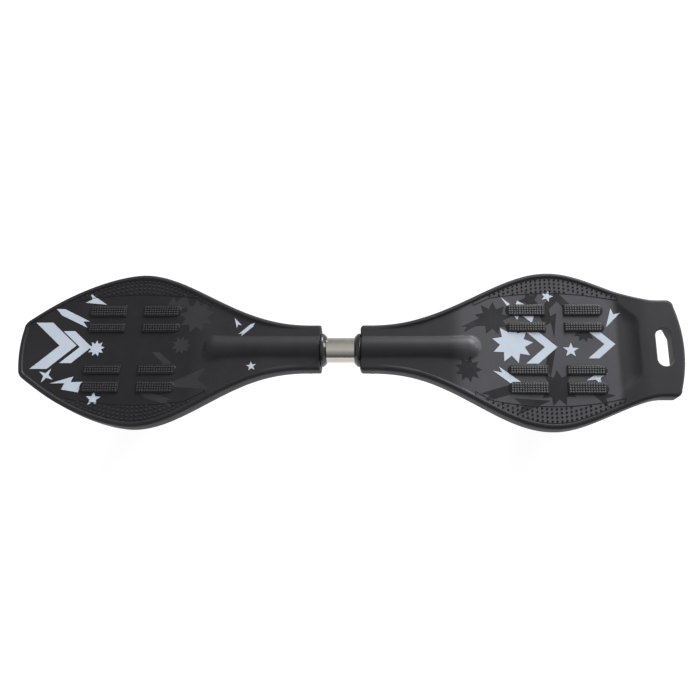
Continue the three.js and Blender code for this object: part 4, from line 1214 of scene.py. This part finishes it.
def add_screws(deck):
    """The screws of a half: label, CAD node, shape and places of each kind."""
    plate = caster_matrix(deck)
    kinds = (
        ("cover_screw_{}", "neck_screw_{}", socket_head(radius=3.8, height=2.6, shank=2, length=16),
         cover_screw_places(deck, COVER_BOTTOM + COVER_SCREW_SEAT)),
        ("bar_bolt", "anchor_bolt", socket_head(radius=5.5, height=4, shank=3, length=13),
         [bar_bolt_place(deck, COVER_BOTTOM + BAR_BOLT_SEAT)]),
        ("mount_screw_{}", "plate_screw_{}", socket_head(radius=3.8, height=2.6, shank=2, length=10),
         [plate @ Matrix.Translation(spot) for spot in PLATE_SCREWS]),
    )
    for label, node, screw, places in kinds:
        for number, place in enumerate(places, 1):
            half_piece(deck, label.format(number), zinc, [placed(screw, place)], node.format(number),
                       slot="zinc_steel")


# Casters

def hex_nut(radius, low, high, bore):
    """A hexagon nut: flats between two chamfered faces, round a bore."""
    chamfer, circle = 0.9, radius * 0.9
    return turned([
        (bore, low + 0.5), (bore + 0.5, low), (circle, low), (radius, low + chamfer, 1),
        (radius, high - chamfer, 1), (circle, high), (bore + 0.5, high), (bore, high - 0.5),
    ], sides=48)


def leg(side):
    """A fork leg: a sheet that narrows from the crown to a round end at the axle, with rounded edges."""
    tip = np.column_stack([WHEEL_TRAIL + LEG_TIP_RADIUS * np.cos(LEG_TIP_TURN),
                           -WHEEL_DROP + LEG_TIP_RADIUS * np.sin(LEG_TIP_TURN)])
    points, quads = slab(np.concatenate([LEG_LEFT, tip, LEG_RIGHT]), LEG_EDGE)
    return np.column_stack([points[:, 0], side * LEG_MIDDLE - points[:, 2], points[:, 1]]), quads


def leg_rib(side):
    """A pressed rib down the middle of a leg: a low half round with tapering ends."""
    share = np.linspace(0, 1, 20)[:, None]
    angle = np.linspace(0, FULL_TURN, 12, endpoint=False)[None]
    size = np.sqrt(np.maximum(1 - (2 * share - 1) ** 4, 0))
    x = mix(*LEG_RIB_X, share) + LEG_RIB_HALF * size * np.cos(angle)
    y = side * (LEG_FACE + LEG_RIB_RISE * size * np.sin(angle))
    z = np.broadcast_to(mix(*LEG_RIB_Z, share), x.shape)
    return grid_shape(np.dstack([x, y, z]), wrap_columns=True)


def caged_balls():
    angle = np.arange(BALL_COUNT) * FULL_TURN / BALL_COUNT
    return copies(ball(BALL_RADIUS), around_z(np.full_like(angle, BALL_CIRCLE), angle, BALL_HEIGHT))


def both_ways(half_profile):
    """A profile and its mirror below z = 0, as one closed loop."""
    return [(radius, -height) for radius, height in reversed(half_profile)] + half_profile


def wheel_core():
    """Rim, boss and a web whose thickness swells into spokes round the turn: its heights dip between them."""
    profile = np.array(both_ways(HUB_SIDE))
    angle = np.arange(HUB_SIDES) * FULL_TURN / HUB_SIDES
    wave = 0.5 + 0.5 * np.cos(SPOKES * angle)
    in_web = ((profile[:, 0] > WEB_RADII[0]) & (profile[:, 0] < WEB_RADII[1]))[:, None]
    lift = 1 - SPOKE_DEPTH * in_web * eased(wave, *SPOKE_EDGE)[None]
    radius = np.broadcast_to(profile[:, :1], lift.shape)
    return grid_shape(around_z(radius, angle, profile[:, 1:2] * lift), wrap_rows=True, wrap_columns=True)


def wheel_bolt():
    head = socket_head(radius=7, height=5, shank=3.7, length=40.3)
    return placed(head, Matrix.Translation((0, 0, -WHEEL_BOLT_SEAT)))


def wheel_side(side):
    """Bearing, seal and washer on one side of a wheel."""
    return (
        (f"race_{side}", [f"bearing_{side}"], "wheel", bearing_steel, "bearing_steel", side,
         [turned(BEARING_RINGS, sides=72)]),
        (f"seal_{side}", [], "wheel", seal_rubber, "bearing_steel", side, [turned(BEARING_SEAL, sides=72)]),
        (f"shim_{side}", [f"washer_{side}"], "caster", zinc, "zinc_steel", side,
         [turned(WASHER, sides=64)]),
    )


# Label, CAD nodes, body, finish, slot, where it lies and shapes of each piece of a caster
CASTER_PIECES = (
    ("mount_plate", ["caster_plate"], "half", zinc, "zinc_steel", "swivel",
     [slab(rounded(PLATE_CORNERS, 6, steps=8), PLATE)]),
    ("pivot_bolt", ["kingpin"], "half", zinc, "zinc_steel", "swivel", [turned(PIVOT_BOLT, sides=48)]),
    ("pivot_nut", ["kingpin_nut"], "half", zinc, "zinc_steel", "swivel",
     [hex_nut(radius=9, low=12.9, high=20.7, bore=5.1)]),
    ("top_race", ["upper_race"], "half", bearing_steel, "bearing_steel", "swivel",
     [turned(TOP_RACE, sides=72)]),
    ("fork_pressing", ["fork"], "caster", fork_alloy, "fork_alloy", "swivel",
     [turned(CROWN, sides=96), leg(-1), leg_rib(-1), leg(1), leg_rib(1)]),
    ("caged_balls", ["ball_ring"], "caster", bearing_steel, "bearing_steel", "swivel",
     [caged_balls(), turned(BALL_CAGE, sides=72)]),
    ("tread", ["tyre"], "wheel", tyre_urethane, "wheel_urethane", "right",
     [turned(both_ways(TYRE_SIDE), sides=144)]),
    ("core", ["hub"], "wheel", core_plastic, "wheel_core", "right", [wheel_core()]),
    *wheel_side("left"),
    *wheel_side("right"),
    ("wheel_bolt", ["axle"], "caster", zinc, "zinc_steel", "left", [wheel_bolt()]),
    ("wheel_nut", ["axle_nut"], "caster", zinc, "zinc_steel", "left",
     [hex_nut(radius=7, low=16.9, high=23.4, bore=3.9)]),
)


def add_caster(deck):
    """Plate, kingpin and upper race, which stay with the deck; fork, balls and axle; and the wheel."""
    swivel = caster_matrix(deck)
    axle = swivel @ Matrix.Translation((WHEEL_TRAIL, 0, -WHEEL_DROP))
    lies = {"swivel": swivel, "left": axle @ Matrix.Rotation(QUARTER_TURN, 4, "X"),
            "right": axle @ Matrix.Rotation(-QUARTER_TURN, 4, "X")}
    for label, nodes, body, finish, slot, lie, shapes in CASTER_PIECES:
        half_piece(deck, label, finish, [placed(shape, lies[lie]) for shape in shapes], *nodes, body=body,
                   slot=slot)


# Tube and collars

def along(side):
    """Lays a body that stands on Z along the board, towards the nose or the tail."""
    return Matrix.Rotation(side * QUARTER_TURN, 4, "Y")


def add_tube():
    inner = TUBE_RADIUS - TUBE_WALL
    low, high = -TUBE_FRONT_REACH, TUBE_REAR_REACH
    tube = turned([
        (inner, low + TUBE_EDGE), (inner + TUBE_EDGE, low), (TUBE_RADIUS - TUBE_EDGE, low),
        (TUBE_RADIUS, low + TUBE_EDGE), (TUBE_RADIUS, high - TUBE_EDGE), (TUBE_RADIUS - TUBE_EDGE, high),
        (inner + TUBE_EDGE, high), (inner, high - TUBE_EDGE),
    ], sides=128)
    piece("steel_tube", "front_half", tube_steel, [placed(tube, along(1))],
          ["torsion_tube"])


def add_collar(deck):
    """A bush: a sleeve in the neck's mouth and a flange that tapers towards its tip."""
    collar = turned([
        (BORE_RADIUS, BUSH_TIP + 0.3), (BORE_RADIUS + 0.3, BUSH_TIP), (BUSH_TIP_RADIUS - 0.3, BUSH_TIP),
        (BUSH_TIP_RADIUS, BUSH_TIP + 0.2), (BUSH_FLANGE_RADIUS - 0.2, BUSH_SEAT - BUSH_RIM - 0.2),
        (BUSH_FLANGE_RADIUS, BUSH_SEAT - BUSH_RIM + 0.2), (BUSH_FLANGE_RADIUS, BUSH_SEAT - 0.3),
        (BUSH_FLANGE_RADIUS - 0.3, BUSH_SEAT), (BUSH_SLEEVE_RADIUS, BUSH_SEAT),
        (BUSH_SLEEVE_RADIUS, BUSH_END), (BORE_RADIUS, BUSH_END),
    ], sides=128)
    half_piece(deck, "collar", bush_nylon, [placed(collar, along(deck.side))], "bush", slot="bush_nylon")


for deck in (front, rear):
    for add_group in (add_deck, add_underside, add_cover, add_screws, add_caster):
        add_group(deck)
add_print(front, "ghost_print", pale_ghost_ink, FRONT_GHOST_PRINT, GHOST_RISE)
add_print(rear, "ghost_print", dark_ghost_ink, REAR_GHOST_PRINT, GHOST_RISE)
add_print(front, "print", print_ink, FRONT_PRINT, PRINT_RISE)
add_print(rear, "print", print_ink, REAR_PRINT, PRINT_RISE)
add_tube()
add_collar(front)
add_collar(rear)

for name, finish in (("torsion_bar", spring_steel), ("front_bar_plug", zinc), ("rear_bar_anchor", zinc),
                     ("front_bearing_spacer", zinc), ("rear_bearing_spacer", zinc)):
    node_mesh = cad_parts[name].data
    node_mesh.materials.clear()
    node_mesh.materials.append(finish)


# Camera, as the photograph was taken: nearly from above, turned and rolled a little
CAMERA_TURNS = ((0.174232, "Z"), (0.360934, "X"), (-0.162834, "Z"))
CAMERA_OFFSET = (11.477, 0.459, 1147.27)
SENSOR = 36
LENS = 46.286

# Room and floor
LAMP_AIM = Vector((0, 0, 0.1))
ROOM_FILL = (0.26, 0.26, 0.27, 1)
WHITE = (1, 1, 1, 1)
# How bright the room is in reflections, from the near side (0) over the top (0.5) to the far side (1)
ROOM_SHADES = ((0.001, 0.12), (0.04, 0.18), (0.1, 0.35), (0.22, 0.5), (0.37, 0.76), (0.5, 0.7), (0.76, 0.6),
               (0.87, 0.44), (0.95, 0.36), (0.999, 0.32))
FLOOR_HALF = 6
FLOOR_GREY = (0.3, 0.3, 0.3, 1)
FLOOR_GLOW = 0.86
FLOOR_FAR_GLOW = 0.15
FLOOR_GLOW_FALL = (0.02, 0.3)


def add_camera():
    first, second, third = [Matrix.Rotation(angle, 4, axis) for angle, axis in CAMERA_TURNS]
    turn = first @ second @ third
    data = bpy.data.cameras.new("camera")
    data.sensor_width = SENSOR
    data.lens = LENS
    camera = add_object("camera", data)
    spot = (Vector(BOARD_ORIGIN) + turn @ Vector(CAMERA_OFFSET)) * METRE
    camera.matrix_world = Matrix.Translation(spot) @ turn
    bpy.context.scene.camera = camera


def add_lamp(name, place, size, power, glossy=True):
    """A soft square lamp at a place in metres that faces the board."""
    data = bpy.data.lights.new(name, "AREA")
    data.shape = "RECTANGLE"
    data.size, data.size_y = size
    data.energy = power
    lamp = add_object(name, data)
    lamp.location = place
    lamp.rotation_euler = (LAMP_AIM - Vector(place)).to_track_quat("-Z", "Y").to_euler()
    lamp.visible_glossy = glossy


def add_room():
    """White to the camera, plain grey as light, and shaded from near to far in reflections."""
    world = bpy.data.worlds.new("studio")
    bpy.context.scene.world = world
    world.use_nodes = True
    tree = world.node_tree
    tree.nodes.clear()
    ray = add_node(tree, "LightPath", {})
    aim = add_node(tree, "SeparateXYZ", {"Vector": add_node(tree, "TexCoord", {})["Generated"]})
    shade = add_node(tree, "ValToRGB", {"Fac": ranged(tree, aim["Y"], -1, 1)})["Color"]
    for place, level in ROOM_SHADES:
        shade.node.color_ramp.elements.new(place).color = (level, level, level, 1)
    plain = add_node(tree, "Background", {"Color": ROOM_FILL})[0]
    white = add_node(tree, "Background", {"Color": WHITE})[0]
    room = add_node(tree, "Background", {"Color": WHITE, "Strength": shade})[0]
    seen = combined(tree, "MAXIMUM", ray["Is Camera Ray"], ray["Is Transmission Ray"])
    unseen = chosen_shader(tree, ray["Is Glossy Ray"], plain, room)
    add_node(tree, "OutputWorld", {"Surface": chosen_shader(tree, seen, unseen, white)})


def add_floor():
    """A pale matt floor that glows to the camera, and in reflections less and less towards the far side."""
    mesh = bpy.data.meshes.new("floor")
    corners = ((-1, -1), (1, -1), (1, 1), (-1, 1))
    mesh.from_pydata([(x * FLOOR_HALF, y * FLOOR_HALF, 0) for x, y in corners], [], [(0, 1, 2, 3)])
    finish, tree, shader = new_material("floor")
    feed(tree, shader, {"Base Color": FLOOR_GREY, "Roughness": 0.9, "Specular IOR Level": 0})
    matt = shader.outputs[0]
    ray = add_node(tree, "LightPath", {})
    place = add_node(tree, "SeparateXYZ", {"Vector": surface_place(tree)})
    ends = {"To Min": FLOOR_GLOW, "To Max": FLOOR_FAR_GLOW}
    reflected = ranged(tree, place["Y"], *FLOOR_GLOW_FALL, **ends)
    level = blended_value(tree, ray["Is Camera Ray"], reflected, FLOOR_GLOW)
    glow = add_node(tree, "Emission", {"Strength": level})[0]
    glowing = add_node(tree, "AddShader", {0: matt, 1: glow})[0]
    seen = combined(tree, "MAXIMUM", ray["Is Camera Ray"], ray["Is Glossy Ray"])
    feed(tree, tree.nodes["Material Output"], {"Surface": chosen_shader(tree, seen, matt, glowing)})
    mesh.materials.append(finish)
    add_object("floor", mesh)


add_camera()
add_lamp("key lamp", place=(1.8, 3.7, 1.7), size=(2.6, 2.0), power=300)
add_lamp("side lamp", place=(2.7, 1.15, 0.6), size=(0.9, 0.5), power=24)
add_lamp("left lamp", place=(-1.7, -2.0, 1.9), size=(1.8, 1.8), power=32, glossy=False)
add_room()
add_floor()
bpy.context.scene.view_settings.view_transform = "Standard"
